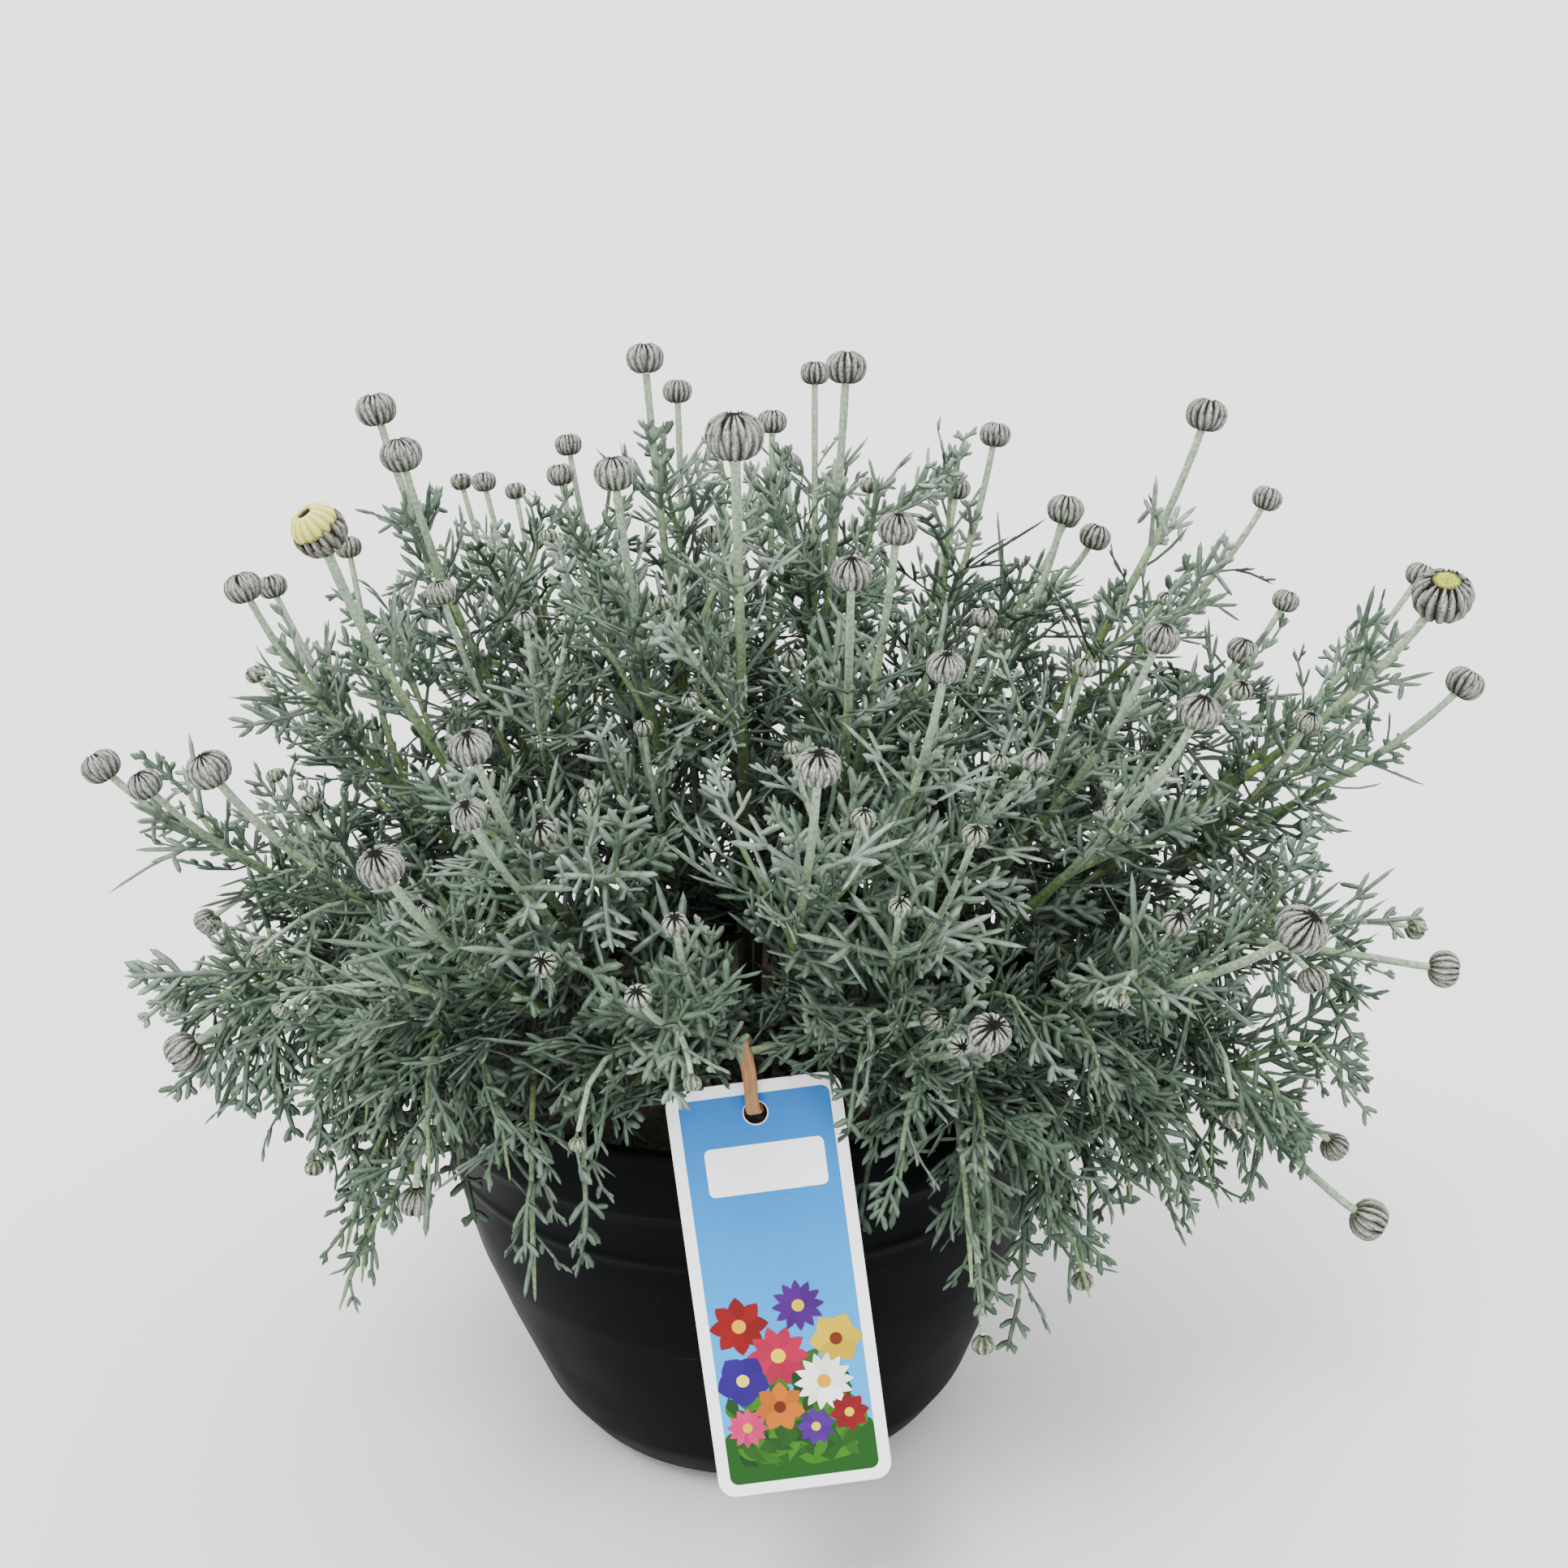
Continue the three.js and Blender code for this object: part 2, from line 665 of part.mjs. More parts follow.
function soilGeometry(bases) {
  const wallRadius = (height) => potRadius(height) * Math.cos(Math.PI / POT_SIDES) - WALL - SEAT_GAP;
  const foot = FLOOR_THICKNESS + SEAT_GAP;
  let soil = toSolid(latheUpright([
    [0, foot],
    [wallRadius(5) - 1, foot],
    [wallRadius(18), 18],
    [wallRadius(74), 74],
    [wallRadius(107), 107],
    [wallRadius(107), SOIL_LEVEL - 2],
    [0, SOIL_LEVEL],
  ], SOIL_SIDES));
  const width = STEM_BASE_WIDTH + 4 * SEAT_GAP;
  for (const base of bases) {
    const hole = new THREE.BoxGeometry(width, width, 2 * HOLE_DEPTH);
    hole.rotateZ(Math.PI / 4);
    hole.translate(base.x, base.y, SOIL_LEVEL);
    soil = soil.subtract(toSolid(hole));
  }
  return toGeometry(soil);
}

function tagGeometry() {
  const half = TAG_WIDTH / 2;
  const shape = new THREE.Shape();
  shape.moveTo(-half + TAG_CORNER, 0);
  shape.absarc(-half + TAG_CORNER, -TAG_CORNER, TAG_CORNER, Math.PI / 2, Math.PI, false);
  shape.absarc(-half + TAG_CORNER, -TAG_LENGTH + TAG_CORNER, TAG_CORNER, Math.PI, Math.PI * 1.5, false);
  shape.absarc(half - TAG_CORNER, -TAG_LENGTH + TAG_CORNER, TAG_CORNER, Math.PI * 1.5, Math.PI * 2, false);
  shape.absarc(half - TAG_CORNER, -TAG_CORNER, TAG_CORNER, 0, Math.PI / 2, false);
  const hole = new THREE.Path();
  hole.absarc(0, -TAG_HOLE_DROP, TAG_HOLE_RADIUS, 0, Math.PI * 2, true);
  shape.holes.push(hole);
  const geometry = new THREE.ExtrudeGeometry(shape, {
    depth: TAG_THICKNESS,
    bevelEnabled: false,
    curveSegments: 3,
  });
  return geometry.translate(0, 0, -TAG_THICKNESS / 2).applyMatrix4(tagMatrix);
}

// The tie is a flat strand in a closed loop, through the label's hole and round the low stem.
function tieLoop(holder) {
  const hole = new THREE.Vector3(0, -TAG_HOLE_DROP, 0).applyMatrix4(tagMatrix);
  const stem = holder.stems[0];
  const top = axisPoint(stem, TIE_AT);
  const inner = stemRadius(stem, TIE_AT) + TIE_SLACK;
  const up = new THREE.Vector3().subVectors(top, hole).normalize();
  return { bottom: hole.addScaledVector(up, inner + TIE_THICKNESS / 2), top, up, inner };
}

function tieGeometry({ bottom, top, up, inner }) {
  const middle = bottom.clone().lerp(top, 0.5);
  const half = bottom.distanceTo(top) / 2;
  const along = new THREE.Vector3(1, 0, 0).addScaledVector(up, -up.x).normalize();
  const front = new THREE.Vector3().crossVectors(up, along);
  const outline = (path, radius) => {
    path.absarc(0, half, radius, 0, Math.PI, false);
    path.absarc(0, -half, radius, Math.PI, Math.PI * 2, false);
    path.closePath();
    return path;
  };
  const shape = outline(new THREE.Shape(), inner + TIE_THICKNESS);
  shape.holes.push(outline(new THREE.Path(), inner));
  const geometry = new THREE.ExtrudeGeometry(shape, {
    depth: TIE_WIDTH,
    bevelEnabled: false,
    curveSegments: 4,
  });
  geometry.translate(0, 0, -TIE_WIDTH / 2);
  const toWorld = new THREE.Matrix4().makeBasis(front, up, along);
  return geometry.applyMatrix4(toWorld.setPosition(middle));
}

function tieBonesOf({ bottom, top, inner }) {
  return [{ from: bottom, to: top, radius: inner + TIE_THICKNESS + 1 }];
}

function sprayGeometry(spray) {
  let solid = null;
  for (const stem of spray.stems) {
    const body = toSolid(loftGeometry(stemBody(stem, spray.opening)));
    solid = solid ? solid.add(body) : body;
  }
  return toGeometry(solid);
}

const black = new THREE.MeshStandardMaterial({ color: 0x1d1f22, roughness: 0.55, metalness: 0 });
const peat = new THREE.MeshStandardMaterial({ color: 0x2b221c, roughness: 0.95, metalness: 0 });
const foliage = new THREE.MeshStandardMaterial({ color: 0x82968a, roughness: 0.8, metalness: 0 });
const yellow = new THREE.MeshStandardMaterial({ color: 0xe9e58a, roughness: 0.7, metalness: 0 });
const label = new THREE.MeshStandardMaterial({ color: 0x8fc0ea, roughness: 0.35, metalness: 0 });
const raffia = new THREE.MeshStandardMaterial({ color: 0xb8743c, roughness: 0.85, metalness: 0 });

function named(name, geometry, material) {
  const mesh = new THREE.Mesh(geometry, material);
  mesh.name = name;
  return mesh;
}

const plan = [...SPRAYS, HOLDER, ...backSprays()];
const bases = spreadBases(plan);
const sprays = plan.map((spray, i) => growSpray(spray, bases[i], i + 1));
const holder = sprays[SPRAYS.length];
const loop = tieLoop(holder);
addLeaves(sprays, tieBonesOf(loop));

const pottedPlant = new THREE.Group();
pottedPlant.add(named('pot', potGeometry(), black));
pottedPlant.add(named('soil', soilGeometry(bases), peat));
pottedPlant.add(named('tag', tagGeometry(), label));
pottedPlant.add(named('tag_tie', tieGeometry(loop), raffia));
for (const spray of sprays) {
  const number = String(spray.number).padStart(2, '0');
  pottedPlant.add(named(`spray_${number}`, sprayGeometry(spray), foliage));
  if (spray.opening) {
    pottedPlant.add(named('opening_rays', loftGeometry(rayDome(spray.stems[0])), yellow));
  }
}

export default pottedPlant;
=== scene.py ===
import math

import bpy
import numpy as np
from mathutils import Matrix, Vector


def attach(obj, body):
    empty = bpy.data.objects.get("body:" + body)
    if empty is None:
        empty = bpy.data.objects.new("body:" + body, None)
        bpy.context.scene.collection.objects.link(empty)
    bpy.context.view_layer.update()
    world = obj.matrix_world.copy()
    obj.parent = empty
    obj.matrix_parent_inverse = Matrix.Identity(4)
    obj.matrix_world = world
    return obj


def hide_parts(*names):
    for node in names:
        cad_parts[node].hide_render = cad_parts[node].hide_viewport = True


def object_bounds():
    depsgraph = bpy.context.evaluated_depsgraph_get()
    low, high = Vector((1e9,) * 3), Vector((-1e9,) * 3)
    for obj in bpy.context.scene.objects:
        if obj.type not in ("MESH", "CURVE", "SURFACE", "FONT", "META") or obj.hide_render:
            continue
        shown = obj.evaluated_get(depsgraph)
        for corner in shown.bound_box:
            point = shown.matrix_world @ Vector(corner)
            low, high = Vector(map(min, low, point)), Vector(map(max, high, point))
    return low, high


# A rhodanthemum in bud in a black bowl pot. Lengths below are in millimetres, in the frame of the CAD part,
# and become metres when a mesh is made.
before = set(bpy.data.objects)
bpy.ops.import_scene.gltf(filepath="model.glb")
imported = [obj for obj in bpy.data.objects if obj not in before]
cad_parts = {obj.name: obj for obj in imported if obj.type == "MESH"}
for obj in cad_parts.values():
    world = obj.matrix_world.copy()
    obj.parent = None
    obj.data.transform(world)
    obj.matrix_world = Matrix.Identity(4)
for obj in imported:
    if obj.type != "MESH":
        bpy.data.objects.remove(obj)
cad_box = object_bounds()

MM = 0.001
UP = np.array([0.0, 0.0, 1.0])

# Pot, soil, label and tie: the dimensions of the CAD part
RIM_HEIGHT = 150.0
RIM_RADIUS = 112.0
WALL = 2.4
FLOOR_THICKNESS = 5.0
SEAT_GAP = 0.3
SOIL_LEVEL = 132.0
TAG_WIDTH = 50.0
TAG_LENGTH = 120.0
TAG_THICKNESS = 0.8
TAG_CORNER = 5.0
TAG_HOLE_RADIUS = 3.4
TAG_HOLE_DROP = 9.0
TAG_TOP = (4.0, -116.5, 177.0)
TAG_LEAN = math.radians(13)
TAG_TURN = math.radians(6)
TIE_WIDTH = 4.0
TIE_THICKNESS = 1.0
TIE_SLACK = 1.6
TIE_AT = 0.65

# The plant: the dimensions of the CAD part
STEM_BASE_WIDTH = 5.2
LEAF_SPACING = 42.0
LOBE_SPREAD = math.radians(17)
FORK_ROOT = 0.4
BASE_SPREAD = 78.0
BASE_GAP = 11.0
GOLDEN_TURN = 2.39996
SKIRT_LEAN = math.radians(50)
SKIRT_FORK = 0.22
SKIRT_REACH = 136.0
SKIRT_SIDE_REACH = 164.0
SKIRT_LEVEL = 136.0
SKIRT_SIDE_DROP = 56.0
SKIRT_TURN = 0.3
SKIRT_FRONT_GAP = 0.38
BACK_SPRAYS = 8
BACK_FROM = math.radians(98)
BACK_TO = math.radians(262)
BACK_LEANS = (38, 62, 84)
BACK_REACH = (228, 232, 205)

# Each spray has its flower buds as (x, y, z, diameter), the main stem's bud first.
SPRAYS = [
    [(-25, 15, 367, 12), (-17, 50, 353, 10)],
    [(39, 8, 363, 13), (30, 48, 358, 10)],
    [(5, -88, 354, 16)],
    [(15, 40, 343, 10), (-6, 30, 307, 8)],
    [(-113, 18, 353, 13), (-100, -12, 342, 13)],
    [(-60, 92, 331, 10), (-62, 78, 322, 10)],
    [(-90, 80, 320, 9), (-82, 102, 313, 8)],
    [(-30, -60, 341, 12)],
    [(94, 70, 333, 11), (122, 80, 301, 9), (126, 45, 300, 11)],
    [(154, 8, 345, 13), (181, 30, 314, 10)],
    [(51, 105, 311, 8), (20, 125, 318, 10)],
    [(49, -78, 326, 11), (35, -104, 319, 11)],
    [(-115, -62, 327, 16)],
    [(-155, -8, 301, 12), (-156, 28, 294, 10), (-127, 20, 308, 9)],
    [(-86, -40, 304, 9), (-57, -70, 301, 7)],
    [(125, -70, 291, 11), (105, -60, 280, 7)],
    [(79, -30, 289, 8), (19, -60, 285, 7)],
    [(185, 15, 282, 9), (162, -20, 274, 10)],
    [(226, -15, 289, 19), (232, 22, 288, 10)],
    [(249, 18, 251, 13), (183, -25, 251, 9)],
    [(130, -100, 277, 12)],
    [(58, -125, 298, 10), (84, -105, 266, 8)],
    [(-65, -128, 281, 11), (-63, -150, 270, 9), (-47, -150, 229, 7)],
    [(-24, -80, 271, 6), (-49, -120, 254, 8)],
    [(24, -160, 283, 11), (36, -130, 259, 7)],
    [(64, -140, 257, 7), (44, -150, 242, 6)],
    [(-214, 5, 239, 13), (-187, -30, 243, 11)],
    [(-151, -75, 261, 13), (-133, -40, 238, 7)],
    [(-86, -150, 257, 12), (-101, -130, 222, 6)],
    [(-13, -150, 239, 7), (-22, -165, 226, 7)],
    [(159, -110, 216, 15), (120, -125, 225, 8)],
    [(226, -45, 173, 12), (223, -25, 179, 8), (179, -60, 177, 10)],
    [(66, -160, 211, 11), (59, -150, 203, 6)],
    [(-172, -70, 168, 13), (-190, -20, 163, 9)],
    [(205, -55, 88, 14), (200, -30, 101, 10), (154, -70, 135, 8)],
    [(-96, -108, 136, 10)],
    [(70, -117, 88, 7)],
    [(104, -90, 91, 7)],
]
HOLDER = [(54, -128, 200, 7), (-44, -132, 167, 5)]
HOLDER_BASE = (-38, -66)
HOLDER_HANDLES = ((-40, -108, 188), (0, -118, 182))
HOLDER_SPRAY = 39
OWN_BASES = {37: (54, -58), HOLDER_SPRAY: HOLDER_BASE}
OPENING = 13
HALF_OPEN = 19

# Small green buds that only the dressed plant has, on short side stems
LATE_BUDS = [
    (-54, -30, 318, 6), (-17, -74, 306, 5.7), (-46, -62, 297, 5), (85, -28, 283, 5),
    (136, -23, 292, 5), (157, -39, 266, 7.5), (-10, -88, 281, 5), (18, -120, 276, 4.5),
    (75, -100, 264, 6), (-147, -25, 243, 5.7), (107, -103, 250, 6.3), (-79, -134, 238, 5),
    (-37, -115, 263, 5), (-137, -94, 211, 5), (105, -129, 204, 5.3), (-10, -158, 198, 5),
    (-104, -92, 145, 6), (-131, -86, 136, 6), (-130, -104, 197, 5), (60, 96, 262, 6),
    (-40, 128, 258, 6), (-110, 92, 246, 5), (112, 104, 240, 6), (10, 150, 226, 6),
    (150, 60, 236, 5),
]

# Leafy shoots without a bud that fill the dome and bend over the rim
DOME_SHOOTS = 150
DOME_LOWEST = -0.14
DOME_REACH = (0.6, 0.84)
DOME_TOP_REACH = 0.11
RIM_SHOOTS = 34
RIM_FRONT_GAP = 0.28
RIM_REACH = (128, 150)
RIM_LEVEL = (112, 150)
RIM_FRONT_LEVEL = 152
SIDE_STEM_WIDTH = 2.6
LOW_STEM_WIDTH = 2.8
# Tips of the low shoots: over the rim at both sides of the label and at the back. The last three are
# sprigs above the label's top edge.
LOW_SHOOTS = [
    (-176, -58, 182), (-174, -56, 166), (-168, -54, 152), (-156, -68, 148), (-166, -48, 140),
    (-148, -60, 136), (-132, -70, 134), (-118, -82, 140), (-98, -90, 146), (-112, -94, 152),
    (84, -100, 140), (188, -58, 144), (192, -50, 156), (172, -68, 128), (166, -60, 112),
    (150, -60, 110), (134, -75, 114), (122, -72, 106), (108, -82, 98), (84, -92, 80),
    (72, -106, 100), (92, -96, 114), (-150, 40, 120), (-120, 92, 114), (150, 50, 118),
    (118, 96, 120), (20, 146, 124), (-50, 140, 118), (70, 134, 126), (-17, -124, 187),
    (23, -125, 189), (33, -130, 182),
]
CROWN = np.array([0.0, 0.0, 140.0])


def mix(start, end, share):
    return start + (end - start) * share


def clamp01(value):
    return np.clip(value, 0.0, 1.0)


def unit(vectors):
    return vectors / (np.linalg.norm(vectors, axis=-1, keepdims=True) + 1e-12)


def draw(key):
    """A number from 0 to 1 that is always the same for a key."""
    value = math.sin(key * 12.9898 + 4.1414) * 43758.5453
    return value - math.floor(value)


class Curve:
    """A cubic Bezier curve."""

    def __init__(self, start, first, last, end):
        self.corners = [np.asarray(p, float) for p in (start, first, last, end)]

    def at(self, share):
        t = np.asarray(share, float)[..., None]
        a, b, c, d = self.corners
        return a * (1 - t) ** 3 + 3 * b * t * (1 - t) ** 2 + 3 * c * t**2 * (1 - t) + d * t**3

    def tangent(self, share):
        t = np.asarray(share, float)[..., None]
        a, b, c, d = self.corners
        return unit((b - a) * (1 - t) ** 2 + 2 * (c - b) * t * (1 - t) + (d - c) * t**2)

    def length(self):
        points = self.at(np.linspace(0, 1, 201))
        return float(np.linalg.norm(np.diff(points, axis=0), axis=1).sum())

    def frame(self, share):
        """The directions along, to the side of and in front of the curve."""
        along = self.tangent(share)
        chord = self.corners[3] - self.corners[0]
        side = np.broadcast_to(unit(np.array([-chord[1], chord[0], 0.0])), along.shape)
        front = unit(np.cross(along, side))
        return along, unit(np.cross(front, along)), front


def stem_curve(start, tip, start_direction=None):
    """A stem climbs, leans out and turns up to its bud. One with a low bud bends down over the rim."""
    start = np.asarray(start, float)
    tip = np.asarray(tip, float)
    flat = tip[:2] - start[:2]
    across = math.hypot(*flat)
    rise = tip[2] - start[2]
    low = clamp01((SOIL_LEVEL + 86 - tip[2]) / 80)
    reach = clamp01((math.hypot(tip[0], tip[1]) - RIM_RADIUS) / 100)
    along = unit(np.array([flat[0], flat[1], 0.0]))
    first = start + along * across * mix(0.3, 0.15, low) + UP * mix(0.28 * rise + 0.1 * across, 95, low)
    if start_direction is not None:
        first = start + start_direction * 0.3 * np.linalg.norm(tip - start)
    last_out = across * mix(0.8, mix(0.92, 0.73, reach), low)
    last = start + along * last_out + UP * mix(0.62 * rise, rise + mix(85, 18, reach), low)
    return Curve(start, first, last, tip)


class Stem:
    """A stem's curve, with its bud's width, its leaf joints and its thickness."""

    def __init__(self, curve, bud, is_main):
        tip_width = mix(2.2, 4.4, clamp01((bud - 5) / 11))
        self.curve = curve
        self.bud = bud
        self.is_main = is_main
        self.length = curve.length()
        self.steps = max(3, math.floor(self.length / LEAF_SPACING + 0.5))
        self.neck_at = 1 - 0.4 * bud / self.length
        self.joints = curve.at(self.neck_at * np.arange(self.steps + 1) / self.steps)
        self.base_radius = (STEM_BASE_WIDTH if is_main else mix(tip_width, STEM_BASE_WIDTH, 0.4)) / 2
        self.tip_radius = tip_width / 2
        self.root_radius = None

    def radius(self, share):
        return mix(self.base_radius, self.tip_radius, share)

    def axis_point(self, share):
        along = clamp01(share) * self.steps
        run = min(int(along), self.steps - 1)
        return mix(self.joints[run], self.joints[run + 1], along - run)


def back_sprays():
    sprays = []
    for i in range(BACK_SPRAYS):
        azimuth = mix(BACK_FROM, BACK_TO, (i + 0.5) / BACK_SPRAYS)
        buds = []
        for level in (0, 2) if i % 2 == 0 else (1, 2):
            key = 31 * i + 7 * level
            lean = math.radians(BACK_LEANS[level] + 10 * (draw(key) - 0.5))
            turn = azimuth + (0.16 if level == 2 else -0.1) + 0.1 * (draw(key + 1) - 0.5)
            reach = BACK_REACH[level] * (0.94 + 0.12 * draw(key + 2))
            buds.append((
                math.sin(turn) * math.sin(lean) * reach,
                -math.cos(turn) * math.sin(lean) * reach,
                SOIL_LEVEL + math.cos(lean) * reach,
                8 + 5 * draw(key + 3),
            ))
        sprays.append(buds)
    return sprays


def spread_bases(plan):
    """Bases spread over the soil: further out where the spray leans more, then pushed apart."""
    bases = []
    for number, buds in enumerate(plan, 1):
        if number in OWN_BASES:
            bases.append(np.array(OWN_BASES[number], float))
            continue
        x, y, z = buds[0][:3]
        out = math.hypot(x, y)
        radius = BASE_SPREAD * min(1, math.atan2(out, z - SOIL_LEVEL) / (math.pi / 2))
        bases.append(np.array([x / out * radius, y / out * radius]))
    for _ in range(60):
        for i in range(len(bases)):
            for j in range(i):
                apart = bases[i] - bases[j]
                distance = math.hypot(*apart)
                if distance < BASE_GAP:
                    apart = apart * (BASE_GAP - distance) / (2 * distance)
                    bases[i] = bases[i] + apart
                    bases[j] = bases[j] - apart
        for i, base in enumerate(bases):
            out = math.hypot(*base)
            if out > BASE_SPREAD + 6:
                bases[i] = base * (BASE_SPREAD + 6) / out
    return bases


def skirt_shoot(trunk, turn, number):
    fork = trunk.axis_point(SKIRT_FORK)
    sideways = abs(math.sin(turn))
    reach = mix(SKIRT_REACH, SKIRT_SIDE_REACH, sideways) * (0.94 + 0.12 * draw(number))
    level = SKIRT_LEVEL - SKIRT_SIDE_DROP * sideways * (0.3 + 0.7 * draw(number + 3))
    tip = np.array([math.sin(turn) * reach, -math.cos(turn) * reach, level])
    direction = unit(unit((tip - fork) * (1, 1, 0)) + UP * 1.1)
    shoot = Stem(stem_curve(fork, tip, direction), 5, False)
    shoot.bud = 0
    shoot.root_radius = FORK_ROOT * trunk.radius(SKIRT_FORK)
    return shoot


def grow_spray(buds, base, number):
    start = np.array([base[0], base[1], SOIL_LEVEL + 1])
    tips = [np.array(bud[:3], float) for bud in buds]
    curve = stem_curve(start, tips[0])
    if number == HOLDER_SPRAY:
        curve = Curve(start, *HOLDER_HANDLES, tips[0])
    stems = [Stem(curve, buds[0][3], True)]
    for i in range(1, len(buds)):
        fork_at = 0.3 + 0.1 * i
        fork = stems[0].axis_point(fork_at)
        side = Stem(stem_curve(fork, tips[i], stems[0].curve.tangent(fork_at)), buds[i][3], False)
        side.root_radius = FORK_ROOT * stems[0].radius(fork_at)
        stems.append(side)
    turn = math.atan2(base[0], -base[1]) + SKIRT_TURN * (1 if number % 2 == 0 else -1)
    leans_out = math.atan2(math.hypot(tips[0][0], tips[0][1]), tips[0][2] - SOIL_LEVEL) > SKIRT_LEAN
    if leans_out and abs(turn) > SKIRT_FRONT_GAP and number != HOLDER_SPRAY:
        stems.append(skirt_shoot(stems[0], turn, number))
    return stems


PLAN = SPRAYS + [HOLDER] + back_sprays()
BASES = spread_bases(PLAN)
sprays = {i: grow_spray(buds, BASES[i - 1], i) for i, buds in enumerate(PLAN, 1)}

# Where things are that leaves keep clear of
POT_PROFILE = np.array([
    (55, 0), (69, 5), (78, 18), (90, 50), (98, 74), (105, 107), (107.8, 126), (111.2, 129), (112, 150),
], float)


def pot_radius(height):
    return np.interp(height, POT_PROFILE[:, 1], POT_PROFILE[:, 0])


tag_matrix = (
    Matrix.Translation(TAG_TOP)
    @ Matrix.Rotation(math.pi / 2 - TAG_LEAN, 4, "X")
    @ Matrix.Rotation(TAG_TURN, 4, "Z")
)
tag_turn = np.array(tag_matrix.to_3x3())


def to_tag(points):
    return (points - np.array(TAG_TOP)) @ tag_turn


box_low = np.array(cad_box[0]) / MM
box_high = np.array(cad_box[1]) / MM


# How far leaves and then stems keep from the label's face, its edges and the pot's wall
LEAF_TAG_CLEARANCE = 1.6
LEAF_TAG_MARGIN = 2
LEAF_WALL_CLEARANCE = 1.5
STEM_TAG_CLEARANCE = 3
STEM_TAG_MARGIN = 3
STEM_TAG_TOP_MARGIN = 4
STEM_WALL_CLEARANCE = 2


def covers_tag(local, margin, top_margin):
    """Which points, in the label's frame, lie before or behind its plate, with a margin round it."""
    across = np.abs(local[..., 0]) < TAG_WIDTH / 2 + margin
    return across & (local[..., 1] < top_margin) & (local[..., 1] > -TAG_LENGTH - margin)


def is_clear(samples):
    """Which leaves, as (leaf, sample, 3), miss the pot's wall, the soil and the label, inside the box."""
    local = to_tag(samples)
    over = covers_tag(local, LEAF_TAG_MARGIN, LEAF_TAG_MARGIN)
    behind = (over & (local[..., 2] < LEAF_TAG_CLEARANCE)).any(axis=1)
    before = (over & (local[..., 2] > -LEAF_TAG_CLEARANCE)).any(axis=1)
    out = np.hypot(samples[..., 0], samples[..., 1])
    below = samples[..., 2] < RIM_HEIGHT + LEAF_WALL_CLEARANCE
    outer = pot_radius(samples[..., 2]) + LEAF_WALL_CLEARANCE
    inner = RIM_RADIUS - 2 * WALL - LEAF_WALL_CLEARANCE
    outside = (below & (out > outer)).any(axis=1)
    inside = (below & (out < inner)).any(axis=1)
    in_wall = below & (out <= outer) & (out >= inner)
    in_soil = (samples[..., 2] < SOIL_LEVEL + 1) & (out <= RIM_RADIUS)
    in_box = ((samples > box_low + 1) & (samples < box_high - 1)).all(axis=(1, 2))
    return in_box & ~(behind & before) & ~(inside & outside) & ~in_wall.any(axis=1) & ~in_soil.any(axis=1)


# How far the foliage reaches in a direction, from the buds around it
all_tips = np.array([bud[:3] for buds in PLAN for bud in buds], float) - CROWN
tip_reach = np.linalg.norm(all_tips, axis=1)
tip_directions = unit(all_tips)


def reach_towards(directions):
    angles = np.arccos(np.clip(directions @ tip_directions.T, -1, 1))
    weights = 1 / (angles**2 + 0.02) ** 2
    return (weights * tip_reach).sum(axis=-1) / weights.sum(axis=-1)


def nearest_spray(point, skip):
    """The spray, the stem and the place on it nearest to a point. Points ahead of a stem count as nearer."""
    best = None
    for number, stems in sprays.items():
        if number in skip:
            continue
        for stem in stems:
            if stem.bud == 0:
                continue
            shares = np.linspace(0.2, 0.6, 9)
            ways = point - stem.curve.at(shares)
            forwardness = (unit(ways) * stem.curve.tangent(shares)).sum(axis=1)
            gaps = np.linalg.norm(ways, axis=1) * (1.6 - forwardness)
            i = int(gaps.argmin())
            if best is None or gaps[i] < best[0]:
                best = (gaps[i], number, stem, shares[i])
    return best[1:]


def is_blocked(curve):
    """Whether a stem would pass through the label, in front of it, or through the pot's wall."""
    points = curve.at(np.linspace(0, 1, 60))
    local = to_tag(points)
    over = covers_tag(local, STEM_TAG_MARGIN, STEM_TAG_TOP_MARGIN)
    out = np.hypot(points[:, 0], points[:, 1])
    edge = pot_radius(points[:, 2])
    near_edge = (out < edge + STEM_WALL_CLEARANCE) & (out > edge - 2 * WALL - STEM_WALL_CLEARANCE)
    in_wall = (points[:, 2] < RIM_HEIGHT + STEM_WALL_CLEARANCE) & near_edge
    return bool((over & (local[:, 2] > -STEM_TAG_CLEARANCE)).any() or in_wall.any())


SIDE_STEM_SEED = 7
SPRAY_SEED = 100
SPRAYS_TRIED = 8


def add_side_stem(tip, bud, width):
    """A side stem from the nearest spray that it can leave without passing through anything."""
    skip = [HOLDER_SPRAY]
    for _ in range(SPRAYS_TRIED):
        number, stem, share = nearest_spray(tip, skip)
        fork = stem.curve.at(share)
        curve = stem_curve(fork, tip, stem.curve.tangent(share))
        if not is_blocked(curve):
            side = Stem(curve, max(bud, 3), False)
            side.bud = bud
            side.base_radius = width * 0.62
            side.tip_radius = width * 0.4
            extra[number].append(side)
            return
        skip.append(number)


